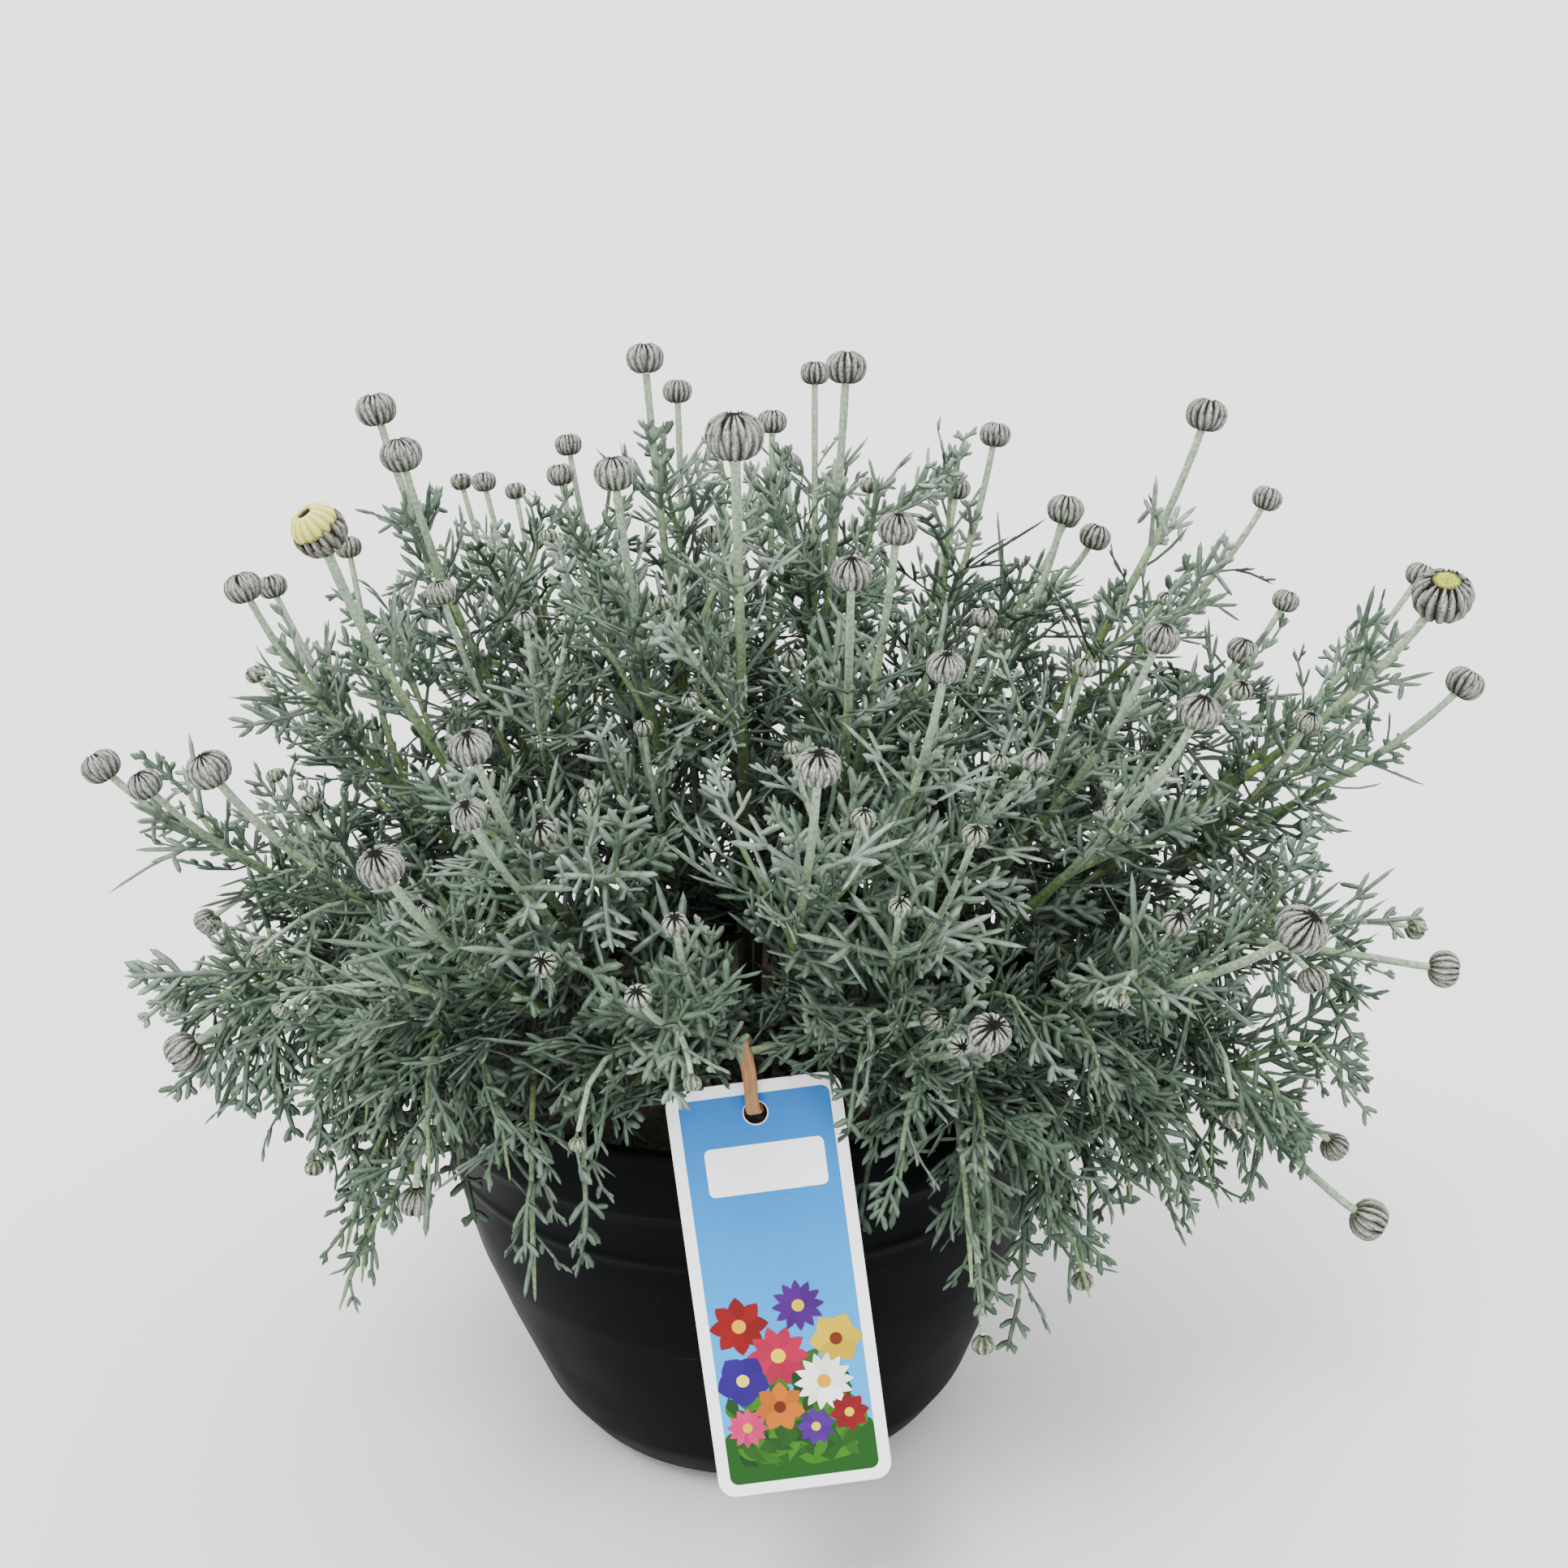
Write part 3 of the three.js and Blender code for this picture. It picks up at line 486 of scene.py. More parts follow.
extra = {number: [] for number in sprays}
rng = np.random.default_rng(SIDE_STEM_SEED)
for x, y, z, diameter in LATE_BUDS:
    add_side_stem(np.array([x, y, z], float), diameter, SIDE_STEM_WIDTH)
for i in range(DOME_SHOOTS):
    height = mix(1.0, DOME_LOWEST, (i + 0.5) / DOME_SHOOTS)
    turn = i * GOLDEN_TURN
    flat = math.sqrt(max(0.0, 1 - height * height))
    direction = np.array([flat * math.cos(turn), flat * math.sin(turn), height])
    share = rng.uniform(*DOME_REACH) + DOME_TOP_REACH * clamp01(2 * height)
    add_side_stem(CROWN + direction * reach_towards(direction) * share, 0, SIDE_STEM_WIDTH)
for i in range(RIM_SHOOTS):
    turn = 2 * math.pi * (i + 0.5) / RIM_SHOOTS + rng.uniform(-0.06, 0.06)
    if abs(math.sin(turn)) < RIM_FRONT_GAP and math.cos(turn) > 0:
        continue
    reach = rng.uniform(*RIM_REACH)
    level = rng.uniform(*RIM_LEVEL)
    level = mix(level, RIM_FRONT_LEVEL, 0.75 * clamp01(2 * math.cos(turn)))
    tip = np.array([math.sin(turn) * reach, -math.cos(turn) * reach, level])
    add_side_stem(tip, 0, SIDE_STEM_WIDTH)
low_from = {number: len(stems) for number, stems in extra.items()}
for tip in LOW_SHOOTS:
    add_side_stem(np.array(tip, float), 0, LOW_STEM_WIDTH)


class Tuft:
    """Gathers triangles with a colour at each corner and a material for each face."""

    def __init__(self):
        self.points = []
        self.faces = []
        self.tints = []
        self.kinds = []
        self.count = 0

    def add(self, points, faces, tints, kind):
        points = np.asarray(points, float).reshape(-1, 3)
        faces = np.asarray(faces, int).reshape(-1, 3)
        self.points.append(points)
        self.faces.append(faces + self.count)
        self.tints.append(np.broadcast_to(np.asarray(tints, float), (len(points), 3)))
        self.kinds.append(np.full(len(faces), kind))
        self.count += len(points)

    def make(self, name, materials, slot, replaced, smooth=True):
        mesh = bpy.data.meshes.new(name)
        points = np.concatenate(self.points)
        mesh.from_pydata((points * MM).tolist(), [], np.concatenate(self.faces).tolist())
        tints = np.ones((len(points), 4))
        tints[:, :3] = np.concatenate(self.tints)
        layer = mesh.color_attributes.new(name="tint", type="FLOAT_COLOR", domain="POINT")
        layer.data.foreach_set("color", tints.ravel())
        for material in materials:
            mesh.materials.append(material)
        mesh.polygons.foreach_set("material_index", np.concatenate(self.kinds))
        if smooth:
            mesh.shade_smooth()
        mesh.update()
        piece = bpy.data.objects.new(name, mesh)
        bpy.context.collection.objects.link(piece)
        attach(piece, "root")
        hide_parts(replaced)


def grid_faces(rows, columns, closed):
    """Triangles of a grid of points in rows. A closed one joins the last column to the first."""
    faces = []
    for r in range(rows - 1):
        for c in range(columns if closed else columns - 1):
            a = r * columns + c
            b = r * columns + (c + 1) % columns
            faces += [(a, b, b + columns), (a, b + columns, a + columns)]
    return np.array(faces)


def fan_faces(count):
    """Triangles from each pair of neighbours in a ring to the point that follows the ring."""
    return [(k, (k + 1) % count, count) for k in range(count)]


def blade_faces(rings):
    faces = []
    for r in range(rings - 2):
        for s in range(3):
            a = 3 * r + s
            b = 3 * r + (s + 1) % 3
            faces += [(a, b, b + 3), (a, b + 3, a + 3)]
    last = 3 * (rings - 2)
    faces += [(last + s, last + (s + 1) % 3, last + 3) for s in range(3)]
    return np.array(faces)


def add_blades(tuft, points, up, half, thick, tints, kind):
    """Narrow pointed blades, flat above and keeled below. points is (blade, ring, 3)."""
    count, rings, _ = points.shape
    along = unit(np.gradient(points, axis=1))
    side = unit(np.cross(along, up[:, None, :]))
    normal = np.cross(side, along)
    left = points + side * half[..., None]
    keel = points - normal * thick[..., None]
    right = points - side * half[..., None]
    ring = np.stack([left, keel, right], axis=2)[:, :-1].reshape(count, 3 * (rings - 1), 3)
    corners = np.concatenate([ring, points[:, -1:]], axis=1)
    tints = np.concatenate([np.repeat(tints[:, :-1], 3, axis=1), tints[:, -1:]], axis=1)
    each = 3 * rings - 2
    faces = blade_faces(rings)[None] + (np.arange(count) * each)[:, None, None]
    tuft.add(corners.reshape(-1, 3), faces.reshape(-1, 3), tints.reshape(-1, 3), kind)


LEAF, STEM, BRACT = 0, 1, 2
LEAF_DEEP = np.array([0.024, 0.046, 0.026])
LEAF_GREY = np.array([0.088, 0.130, 0.092])
LEAF_PALE = np.array([0.29, 0.35, 0.295])
# INNER_SHADE is painted shade: the share of their colour that the innermost leaves and stems keep
INNER_SHADE = 0.20
OUTER_START = 0.42
OUTER_SPAN = 0.42
LOBE_SHARES = np.array([0.0, 0.38, 0.82, 1.0])
BLADE_SHARES = np.array([0.0, 0.3, 0.6, 0.85, 1.0])


def outerness(points):
    """From 0 in the middle of the plant to 1 among the buds. Colours use it for painted shade, darkening
    leaves and stems deep inside the plant where shade falls and where leaves are also older, and to keep the
    pale felt to the outer leaves as painted light.
    """
    ways = points - CROWN
    share = np.linalg.norm(ways, axis=1) / reach_towards(unit(ways))
    return clamp01((share - OUTER_START) / OUTER_SPAN)[:, None]


def leaf_tints(origin, freshness, source):
    count = len(origin)
    grey = clamp01(freshness + source.normal(0, 0.22, count))[:, None]
    tints = mix(LEAF_DEEP, LEAF_GREY, grey)
    outer = outerness(origin)
    # Pale felt is real, but keeping it to the outer, higher leaves is painted light: lighter where the light
    # falls.
    above = mix(0.25, 1.0, clamp01((origin[:, 2:] - SOIL_LEVEL) / 130))
    tints = mix(tints, LEAF_PALE, (source.uniform(0, 1, count)[:, None] ** 2) * 0.7 * outer * above)
    # Painted shade: leaves deep inside the plant are darkened down to INNER_SHADE of their colour.
    return tints * mix(INNER_SHADE, 1.0, outer)


def add_lobes(tuft, base, target, bend, up, width, tints):
    """Lobes from their base to their tip, bowed towards bend."""
    middle = (base + target) / 2 + bend
    t = LOBE_SHARES[None, :, None]
    points = base[:, None] * (1 - t) ** 2 + 2 * middle[:, None] * t * (1 - t) + target[:, None] * t**2
    half = width[:, None] * np.array([0.44, 0.64, 0.54, 0.0])
    ramp = np.array([0.86, 0.98, 1.08, 1.2])[None, :, None]
    add_blades(tuft, points, up, half, half * 0.75, tints[:, None] * ramp, LEAF)
    return points


def midrib(origin, forward, up, length, curl, shares):
    """Points along the middle of curling leaves, as (leaf, share, 3)."""
    t = shares[None, :, None]
    shape = t * forward[:, None] + (curl[:, None, None] * t * t) * up[:, None]
    return origin[:, None] + length[:, None, None] * shape


def add_midrib(tuft, origin, forward, up, length, curl, width, tints):
    points = midrib(origin, forward, up, length, curl, BLADE_SHARES)
    half = width[:, None] * np.array([0.62, 0.5, 0.56, 0.52, 0.0])
    ramp = np.array([0.8, 0.88, 0.96, 1.05, 1.18])[None, :, None]
    add_blades(tuft, points, up, half, half * 0.8, tints[:, None] * ramp, LEAF)


def leaf_extent(origin, forward, up, side, length, curl):
    """The middle, the tip and both sides of each leaf, as (leaf, 4, 3)."""
    line = midrib(origin, forward, up, length, curl, np.array([0.5, 1.0]))
    wings = [line[:, 0] + sign * 0.36 * length[:, None] * side for sign in (-1, 1)]
    return np.concatenate([line, np.stack(wings, axis=1)], axis=1)


def add_leaves(tuft, origin, forward, up, length, curl, pairs, freshness, source):
    """Leaves cut into narrow lobes: a midrib with pairs of side lobes, of which some fork again."""
    if len(length) == 0:
        return
    side = unit(np.cross(forward, up))
    keep = is_clear(leaf_extent(origin, forward, up, side, length, curl))
    if not keep.any():
        return
    origin, forward, up, side = origin[keep], forward[keep], up[keep], side[keep]
    length, curl = length[keep], curl[keep]
    count = len(length)
    tints = leaf_tints(origin, freshness, source)
    width = source.uniform(1.35, 1.85, count) * clamp01(length / 26 + 0.35)
    add_midrib(tuft, origin, forward, up, length, curl, width, tints)
    for pair in range(pairs):
        share = 0.36 + 0.44 * pair / max(pairs - 1, 1) if pairs > 1 else 0.52
        for sign in (-1, 1):
            at = share + source.uniform(-0.05, 0.05, count)
            angle = np.radians(source.normal(44 - 5 * pair, 6, count))[:, None]
            reach = length * (0.40 - 0.085 * pair) * source.uniform(0.75, 1.2, count)
            ahead = unit(forward + 2 * (curl * at)[:, None] * up)
            base = origin + length[:, None] * (at[:, None] * forward + (curl * at * at)[:, None] * up)
            lift = source.normal(0.12, 0.12, count)[:, None]
            way = np.cos(angle) * ahead + sign * np.sin(angle) * side + lift * up
            target = base + reach[:, None] * way
            bend = reach[:, None] * 0.10 * (sign * side - ahead * 0.6)
            line = add_lobes(tuft, base, target, bend, up, width, tints)
            forks = source.uniform(0, 1, count) < (0.62 if pair < 2 else 0.2)
            if pairs > 1 and forks.any():
                root = line[forks, 1]
                turned = angle[forks] + np.radians(source.choice([-38, 40], forks.sum()))[:, None]
                way = np.cos(turned) * ahead[forks] + sign * np.sin(turned) * side[forks] + 0.15 * up[forks]
                target = root + (reach[forks] * 0.48)[:, None] * way
                straight = np.zeros_like(root)
                add_lobes(tuft, root, target, straight, up[forks], width[forks] * 0.85, tints[forks])


def cad_pairs(stem, number, index, corners):
    """Finds how the CAD part turned and sized each pair of leaves, by the tips among the node's corners."""
    found = []
    for joint in range(1, stem.steps):
        key = number * 97 + index * 31 + joint * 7
        at = joint / stem.steps
        along, side, front = stem.curve.frame(at * stem.neck_at)
        lobes = 3 if at > 0.6 and stem.bud > 0 else 5
        rise = mix(0.5, 0.9, at) + 0.5 * (draw(key + 4) - 0.5)
        arch = 0.5 * (draw(key + 5) - 0.5)
        off = np.arange(lobes) - (lobes - 1) / 2
        for attempt in range(12):
            length = (1 if attempt < 6 else 0.75) * mix(38, 20, at) * (0.85 + 0.3 * draw(key + 3))
            turn = key * GOLDEN_TURN + attempt * 0.55
            halves = []
            for half in (0, 1):
                angle = (turn + half * math.pi + off * LOBE_SPREAD)[:, None]
                uneven = [0.16 * draw(key + k + 9 * half) for k in range(lobes)]
                out = length * (1 - 0.2 * np.abs(off) - np.array(uneven))
                flat = np.cos(angle) * side + np.sin(angle) * front
                lift = (rise + arch * out / length)[:, None] * along
                halves.append(stem.joints[joint] + out[:, None] * (flat + lift))
            gaps = np.linalg.norm(corners[None] - np.concatenate(halves)[:, None], axis=2).min(axis=1)
            if gaps.max() < 0.3:
                found.append((stem.joints[joint], along, halves))
                break
    return found


def add_cad_leaf(tuft, joint, along, tips, source):
    """One leaf whose lobes end where the CAD leaf's lobes end."""
    middle = len(tips) // 2
    forward = (tips[middle] - joint)[None]
    length = np.linalg.norm(forward, axis=1)
    forward = unit(forward)
    up = unit(along[None] - (along * forward).sum() * forward)
    width = np.array([1.8])
    tints = leaf_tints(joint[None], 0.9, source)
    add_midrib(tuft, joint[None], forward, up, length, np.zeros(1), width, tints)
    for k, tip in enumerate(tips):
        if k == middle:
            continue
        base = joint + forward * length * (0.62 - 0.22 * abs(k - middle) if len(tips) > 3 else 0.45)
        bend = 0.1 * np.linalg.norm(tip - base) * unit(tip - joint - forward * length)
        line = add_lobes(tuft, base, tip[None], bend, up, width, tints)
        root = line[:, 1]
        spread = unit(tip[None] - tips[middle][None])
        target = root + 0.3 * length[:, None] * unit(spread + forward * source.uniform(0.1, 0.5))
        add_lobes(tuft, root, target, np.zeros((1, 3)), up, width * 0.8, tints)


STEM_FELT = np.array([0.235, 0.30, 0.225])
STEM_GREEN = np.array([0.082, 0.130, 0.046])
STEM_DEEP = np.array([0.035, 0.05, 0.022])
STEM_SIDES = 7
STEM_TRIM = 0.67
FOOT_LENGTH = 16


def add_stem(tuft, stem, source):
    rings = max(6, int(stem.length / 7))
    shares = np.linspace(0, stem.neck_at, rings)
    points = stem.curve.at(shares)
    _, side, front = stem.curve.frame(shares)
    scaled = shares / stem.neck_at
    radii = STEM_TRIM * stem.radius(scaled) * source.uniform(0.94, 1.06, rings)
    if stem.root_radius is not None:
        radii[0] = stem.root_radius
    if stem.is_main:
        points = np.concatenate([[points[0] - UP * FOOT_LENGTH], points])
        side = np.concatenate([side[:1], side])
        front = np.concatenate([front[:1], front])
        radii = np.concatenate([radii[:1], radii])
        scaled = np.concatenate([[0.0], scaled])
    if stem.bud == 0:
        radii[-1] *= 0.5
    angles = 2 * math.pi * np.arange(STEM_SIDES) / STEM_SIDES
    ring = np.cos(angles)[None, :, None] * side[:, None] + np.sin(angles)[None, :, None] * front[:, None]
    corners = points[:, None] + radii[:, None, None] * ring
    felt = clamp01(1 - (1 - scaled) * stem.length / 75)[:, None] * (1.0 if stem.bud > 0 else 0.3)
    deep = clamp01(1 - scaled / 0.4)[:, None] * (0.9 if stem.is_main else 0.4)
    tints = mix(mix(STEM_GREEN, STEM_FELT, felt), STEM_DEEP, deep)
    joints = np.abs((scaled * stem.steps + 0.5) % 1 - 0.5) < 0.12
    tints = np.where(joints[:, None], tints * 1.15 + np.array([0.03, 0.04, 0.0]), tints)
    # Painted shade: stems deep inside the plant are darkened like the leaves there.
    tints = tints * mix(INNER_SHADE, 1.0, outerness(points))
    tints = np.repeat(tints, STEM_SIDES, axis=0)
    tuft.add(corners.reshape(-1, 3), grid_faces(len(points), STEM_SIDES, True), tints, STEM)
    if stem.bud == 0:
        end = points[-1] + stem.curve.tangent(1.0) * 1.5
        tuft.add(np.concatenate([corners[-1], end[None]]), fan_faces(STEM_SIDES), tints[-1], STEM)


def leaf_stations(stem, begin, end, spacing, source):
    length = stem.length * (end - begin)
    count = max(0, int(length / spacing))
    if count == 0:
        return np.zeros(0)
    shares = begin + (end - begin) * (np.arange(count) + 0.5) / count
    return shares + source.uniform(-0.3, 0.3, count) * spacing / stem.length


# Leaves on each kind of stem: spacing, longest, shortest, how many degrees they lean from it at its foot
# and tip, freshness
BUD_STEM_LEAVES = (6.2, 33, 16, (60, 36), 0.85)
LATE_BUD_LEAVES = (5.4, 28, 13, (60, 32), 0.9)
SKIRT_LEAVES = (4.8, 31, 13, (62, 24), 0.75)
DOME_LEAVES = (4.9, 33, 17, (64, 20), 0.85)
LOW_LEAVES = (4.2, 33, 17, (64, 20), 0.85)
UNLOBED_SHARE = 0.13


def clothe(tuft, stem, key, begin, end, leaves, source):
    """Leaves in a spiral up a stem, shorter and steeper towards its end."""
    spacing, long_leaf, short_leaf, spread, freshness = leaves
    shares = clamp01(leaf_stations(stem, begin, end, spacing, source))
    if len(shares) == 0:
        return
    count = len(shares)
    scaled = (shares - begin) / (end - begin)
    along, side, front = stem.curve.frame(shares)
    turn = key * 1.7 + np.arange(count) * GOLDEN_TURN + source.uniform(-0.4, 0.4, count)
    out = np.cos(turn)[:, None] * side + np.sin(turn)[:, None] * front
    tilt = np.radians(mix(spread[0], spread[1], scaled) + source.normal(0, 8, count))[:, None]
    forward = unit(np.cos(tilt) * along + np.sin(tilt) * out)
    up = unit(along - (along * forward).sum(axis=1, keepdims=True) * forward + 1e-6 * out)
    length = mix(long_leaf, short_leaf, scaled) * source.uniform(0.8, 1.2, count)
    curl = source.normal(0.02, 0.24, count)
    origin = stem.curve.at(shares)
    pairs = np.where(length > 22, 3, np.where(length > 13, 2, 1))
    pairs = np.where(source.uniform(0, 1, count) < UNLOBED_SHARE, 0, pairs)
    for kind in range(4):
        chosen = pairs == kind
        placed = [values[chosen] for values in (origin, forward, up, length, curl)]
        add_leaves(tuft, *placed, kind, freshness, source)


WOOL = np.array([0.36, 0.38, 0.345])
MARGIN = np.array([0.014, 0.009, 0.008])
OLIVE = np.array([0.085, 0.11, 0.055])
# Near-black painted shade for the hollows at the tops of buds and in the opening bud's rays
PAINTED_HOLLOW_SHADE = np.array([0.004, 0.003, 0.003])
RAY_YELLOW = np.array([0.56, 0.55, 0.10])
HALF_OPEN_YELLOW = np.array([0.30, 0.33, 0.04])
YOUNG_WOOL = np.array([0.32, 0.39, 0.29])
YOUNG_MARGIN = np.array([0.06, 0.08, 0.04])
YOUNG_FOOT = np.array([0.16, 0.21, 0.12])
OPEN_CUP = (WOOL * 0.8, np.array([0.050, 0.028, 0.026]), OLIVE)
CORE_ANGLES = np.array([180, 160, 135, 110, 85, 60, 42, 28, 16], float)


def globe(polar, radius):
    """Height and width on the bud's outline at a polar angle in degrees from its top."""
    angle = np.radians(polar)
    height = np.where(np.cos(angle) > 0, 0.74, 0.88) * np.cos(angle)
    return height * radius, np.clip(np.sin(angle), 0, 1) ** 0.8 * radius


def bract_row(tuft, place, radius, count, start, stop, lift, phase, colours, fineness, source, woolly=0.9):
    """One row of overlapping bracts: each is a raised scale with dark margins and a woolly middle."""
    across = np.linspace(-1, 1, 5)
    up_steps = np.linspace(0, 1, fineness)
    wool, margin, foot = colours
    faces = grid_faces(fineness, 5, False)
    for k in range(count):
        wide = 0.6 * 2 * math.pi / count * source.uniform(0.85, 1.15)
        ends = stop + source.uniform(-8, 8)
        polar = start + (ends - start) * up_steps
        height, width = globe(polar, radius)
        taper = np.sqrt(np.clip(1 - up_steps**2.2, 0.03, 1)) * mix(0.8, 1.0, up_steps)
        sway = source.uniform(-0.12, 0.12) * up_steps
        angle = phase + 2 * math.pi * k / count + sway[:, None] + wide * taper[:, None] * across[None]
        ridge = 1 - across**2
        swell = np.sin(math.pi * clamp01(up_steps * 0.85 + 0.08))[:, None]
        proud = radius * (lift + 0.085 * ridge[None] * swell)
        proud = proud - radius * 0.06 * (np.abs(across) > 0.9)[None]
        proud = proud + radius * 0.03 * (up_steps[:, None] > 0.95)
        out = width[:, None] + proud * np.maximum(0.35, np.sin(np.radians(polar)))[:, None]
        tall = height[:, None] + proud * np.cos(np.radians(polar))[:, None]
        corners = place(angle, out, np.broadcast_to(tall, out.shape))
        middle = mix(foot, wool, clamp01((up_steps - 0.1) / 0.5)[:, None])
        streak = source.uniform(0.75, 1.1)
        tints = np.empty((fineness, 5, 3))
        for c in range(5):
            edge = np.array([1.0, 0.62, 0.0, 0.62, 1.0])[c] * mix(1.0, woolly, up_steps[:, None] ** 2)
            tints[:, c] = mix(middle * streak, margin, edge)
        tints[-1] = mix(tints[-1], margin, 0.7 * woolly)
        tints[0] = mix(tints[0], foot, 0.6)
        tuft.add(corners.reshape(-1, 3), faces, tints.reshape(-1, 3), BRACT)


BUD_TRIM = 0.92
SMALL_BUD = 8.6
OPEN_BUD_TURN = {OPENING: np.array([-0.42, -0.52, 0.0]), HALF_OPEN: np.array([-0.55, -0.62, 0.1])}


def bud_axes(stem, number):
    """A bud's two sideways directions and the one it faces. Opening buds face the light in front."""
    along, side, _ = stem.curve.frame(1.0)
    lean = along + 0.25 * UP * (along[2] > 0.2)
    if number in OPEN_BUD_TURN and stem.is_main:
        lean = lean + OPEN_BUD_TURN[number]
    lean = unit(lean)
    side = unit(side - (side @ lean) * lean)
    return side, np.cross(lean, side), lean


def add_core(tuft, place, radius, sides, opening, half_open):
    """The body of a bud inside its bracts, darkening upwards to near-black painted shade in the hollow at
    its top.
    """
    height, width = globe(CORE_ANGLES, radius * 0.97)
    if opening:
        height, width = height[:5], width[:5] * 0.94
        height = np.append(height, [radius * 0.1])
        width = np.append(width, [0.0])
    else:
        height = np.append(height, [radius * 0.56, radius * 0.46])
        width = np.append(width, [radius * 0.15, 0.0])
    angles = 2 * math.pi * np.arange(sides) / sides
    corners = place(
        np.broadcast_to(angles, (len(height), sides)),
        np.repeat(width[:, None], sides, axis=1),
        np.repeat(height[:, None], sides, axis=1),
    )
    # Painted shade: the core darkens upwards and is near-black in the hollow at its top.
    hollow_shade_share = clamp01((height / radius + 0.6) / 0.8)[:, None]
    tints = mix(OLIVE * 0.6, PAINTED_HOLLOW_SHADE, hollow_shade_share)
    if half_open:
        tints[-3:] = HALF_OPEN_YELLOW
    tints = np.repeat(tints, sides, axis=0)
    tuft.add(corners.reshape(-1, 3), grid_faces(len(height), sides, True), tints, BRACT)


def bract_colours(bud):
    """The woolly middle, margin and foot of a bud's bracts, which are greener on a small bud."""
    youth = clamp01((10 - bud) / 5)
    wool = mix(WOOL, YOUNG_WOOL, youth * 0.7)
    margin = mix(MARGIN, YOUNG_MARGIN, youth * 0.55)
    foot = mix(OLIVE, YOUNG_FOOT, youth)
    return wool, margin, foot


def add_bud(tuft, stem, number, source):
    """A bud: its core and two or three rows of bracts, fewer and finer on a small bud."""
    radius = BUD_TRIM * stem.bud / 2
    centre = stem.curve.at(1.0)
    side, front, lean = bud_axes(stem, number)

    def place(angle, out, tall):
        flat = np.cos(angle)[..., None] * side + np.sin(angle)[..., None] * front
        return centre + out[..., None] * flat + tall[..., None] * lean

    small = stem.bud < SMALL_BUD
    opening = number == OPENING and stem.is_main
    half_open = number == HALF_OPEN and stem.is_main
    add_core(tuft, place, radius, 10 if small else 16, opening, half_open)
    colours = bract_colours(stem.bud)
    phase = source.uniform(0, 1)
    if small:
        bract_row(tuft, place, radius, 10, 120, 16, 0.0, phase, colours, 6, source, 0.45)
        bract_row(tuft, place, radius, 8, 172, 66, 0.03, phase + 0.35, colours, 5, source)
        return
    if opening:
        bract_row(tuft, place, radius, 17, 140, 70, 0.02, phase, OPEN_CUP, 7, source)
        bract_row(tuft, place, radius, 13, 172, 98, 0.05, phase + 0.3, OPEN_CUP, 7, source)
        return
    bract_row(tuft, place, radius, 17, 118, 25 if half_open else 17, 0.0, phase, colours, 7, source, 0.6)
    bract_row(tuft, place, radius, 16, 150, 48, 0.03, phase + 0.25, colours, 7, source)
    bract_row(tuft, place, radius, 14, 174, 84, 0.055, phase + 0.5, colours, 6, source)


def new_material(name):
    material = bpy.data.materials.new(name)
    material.use_nodes = True
    tree = material.node_tree
    return material, tree, tree.nodes["Principled BSDF"]


def add_node(tree, kind, **settings):
    node = tree.nodes.new(kind)
    for key, value in settings.items():
        if key in node.inputs:
            node.inputs[key].default_value = value
        else:
            setattr(node, key, value)
    return node


def coordinates(tree, stretch=(1, 1, 1)):
    """Object coordinates in millimetres, so that a texture's scale reads as features per millimetre."""
    place = add_node(tree, "ShaderNodeTexCoord")
    mapping = add_node(tree, "ShaderNodeMapping")
    mapping.inputs["Scale"].default_value = [s / MM for s in stretch]
    tree.links.new(place.outputs["Object"], mapping.inputs["Vector"])
    return mapping.outputs["Vector"]


def noise(tree, vector, scale, detail=3.0, roughness=0.5):
    node = add_node(tree, "ShaderNodeTexNoise", Scale=scale, Detail=detail, Roughness=roughness)
    tree.links.new(vector, node.inputs["Vector"])
    return node.outputs["Fac"]


def ramp(tree, value, stops):
    """Maps a value to a colour by stops of (position, colour)."""
    node = add_node(tree, "ShaderNodeValToRGB")
    elements = node.color_ramp.elements
    while len(elements) < len(stops):
        elements.new(0.5)
    for element, (position, colour) in zip(elements, stops):
        element.position = position
        element.color = (*colour, 1)
    tree.links.new(value, node.inputs["Fac"])
    return node.outputs["Color"]


def blend(tree, share, first, second, kind="MIX"):
    node = add_node(tree, "ShaderNodeMix", data_type="RGBA", blend_type=kind)
    sockets = {"Factor": node.inputs[0], "A": node.inputs[6], "B": node.inputs[7]}
    for key, value in (("Factor", share), ("A", first), ("B", second)):
        if isinstance(value, bpy.types.NodeSocket):
            tree.links.new(value, sockets[key])
        elif key == "Factor":
            sockets[key].default_value = value
        else:
            sockets[key].default_value = (*value, 1)
    return node.outputs[2]


def bump(tree, shader, value, strength, distance):
    node = add_node(tree, "ShaderNodeBump", Strength=strength, Distance=distance * MM)
    tree.links.new(value, node.inputs["Height"])
    tree.links.new(node.outputs["Normal"], shader.inputs["Normal"])


def grey(level):
    return (level, level, level)


def vary_roughness(tree, shader, value, low, high):
    shade = ramp(tree, value, [(0.3, grey(low)), (0.7, grey(high))])
    tree.links.new(shade, shader.inputs["Roughness"])


def tinted(tree, low, high, value):
    """The mesh's tint attribute, its colour together with any painted shade or light in it, made lighter and
    darker by a texture.
    """
    attribute = add_node(tree, "ShaderNodeAttribute", attribute_name="tint")
    shade = ramp(tree, value, [(0.25, grey(low)), (0.75, grey(high))])
    return blend(tree, 1.0, attribute.outputs["Color"], shade, "MULTIPLY")


FLECK = (0.36, 0.42, 0.37)


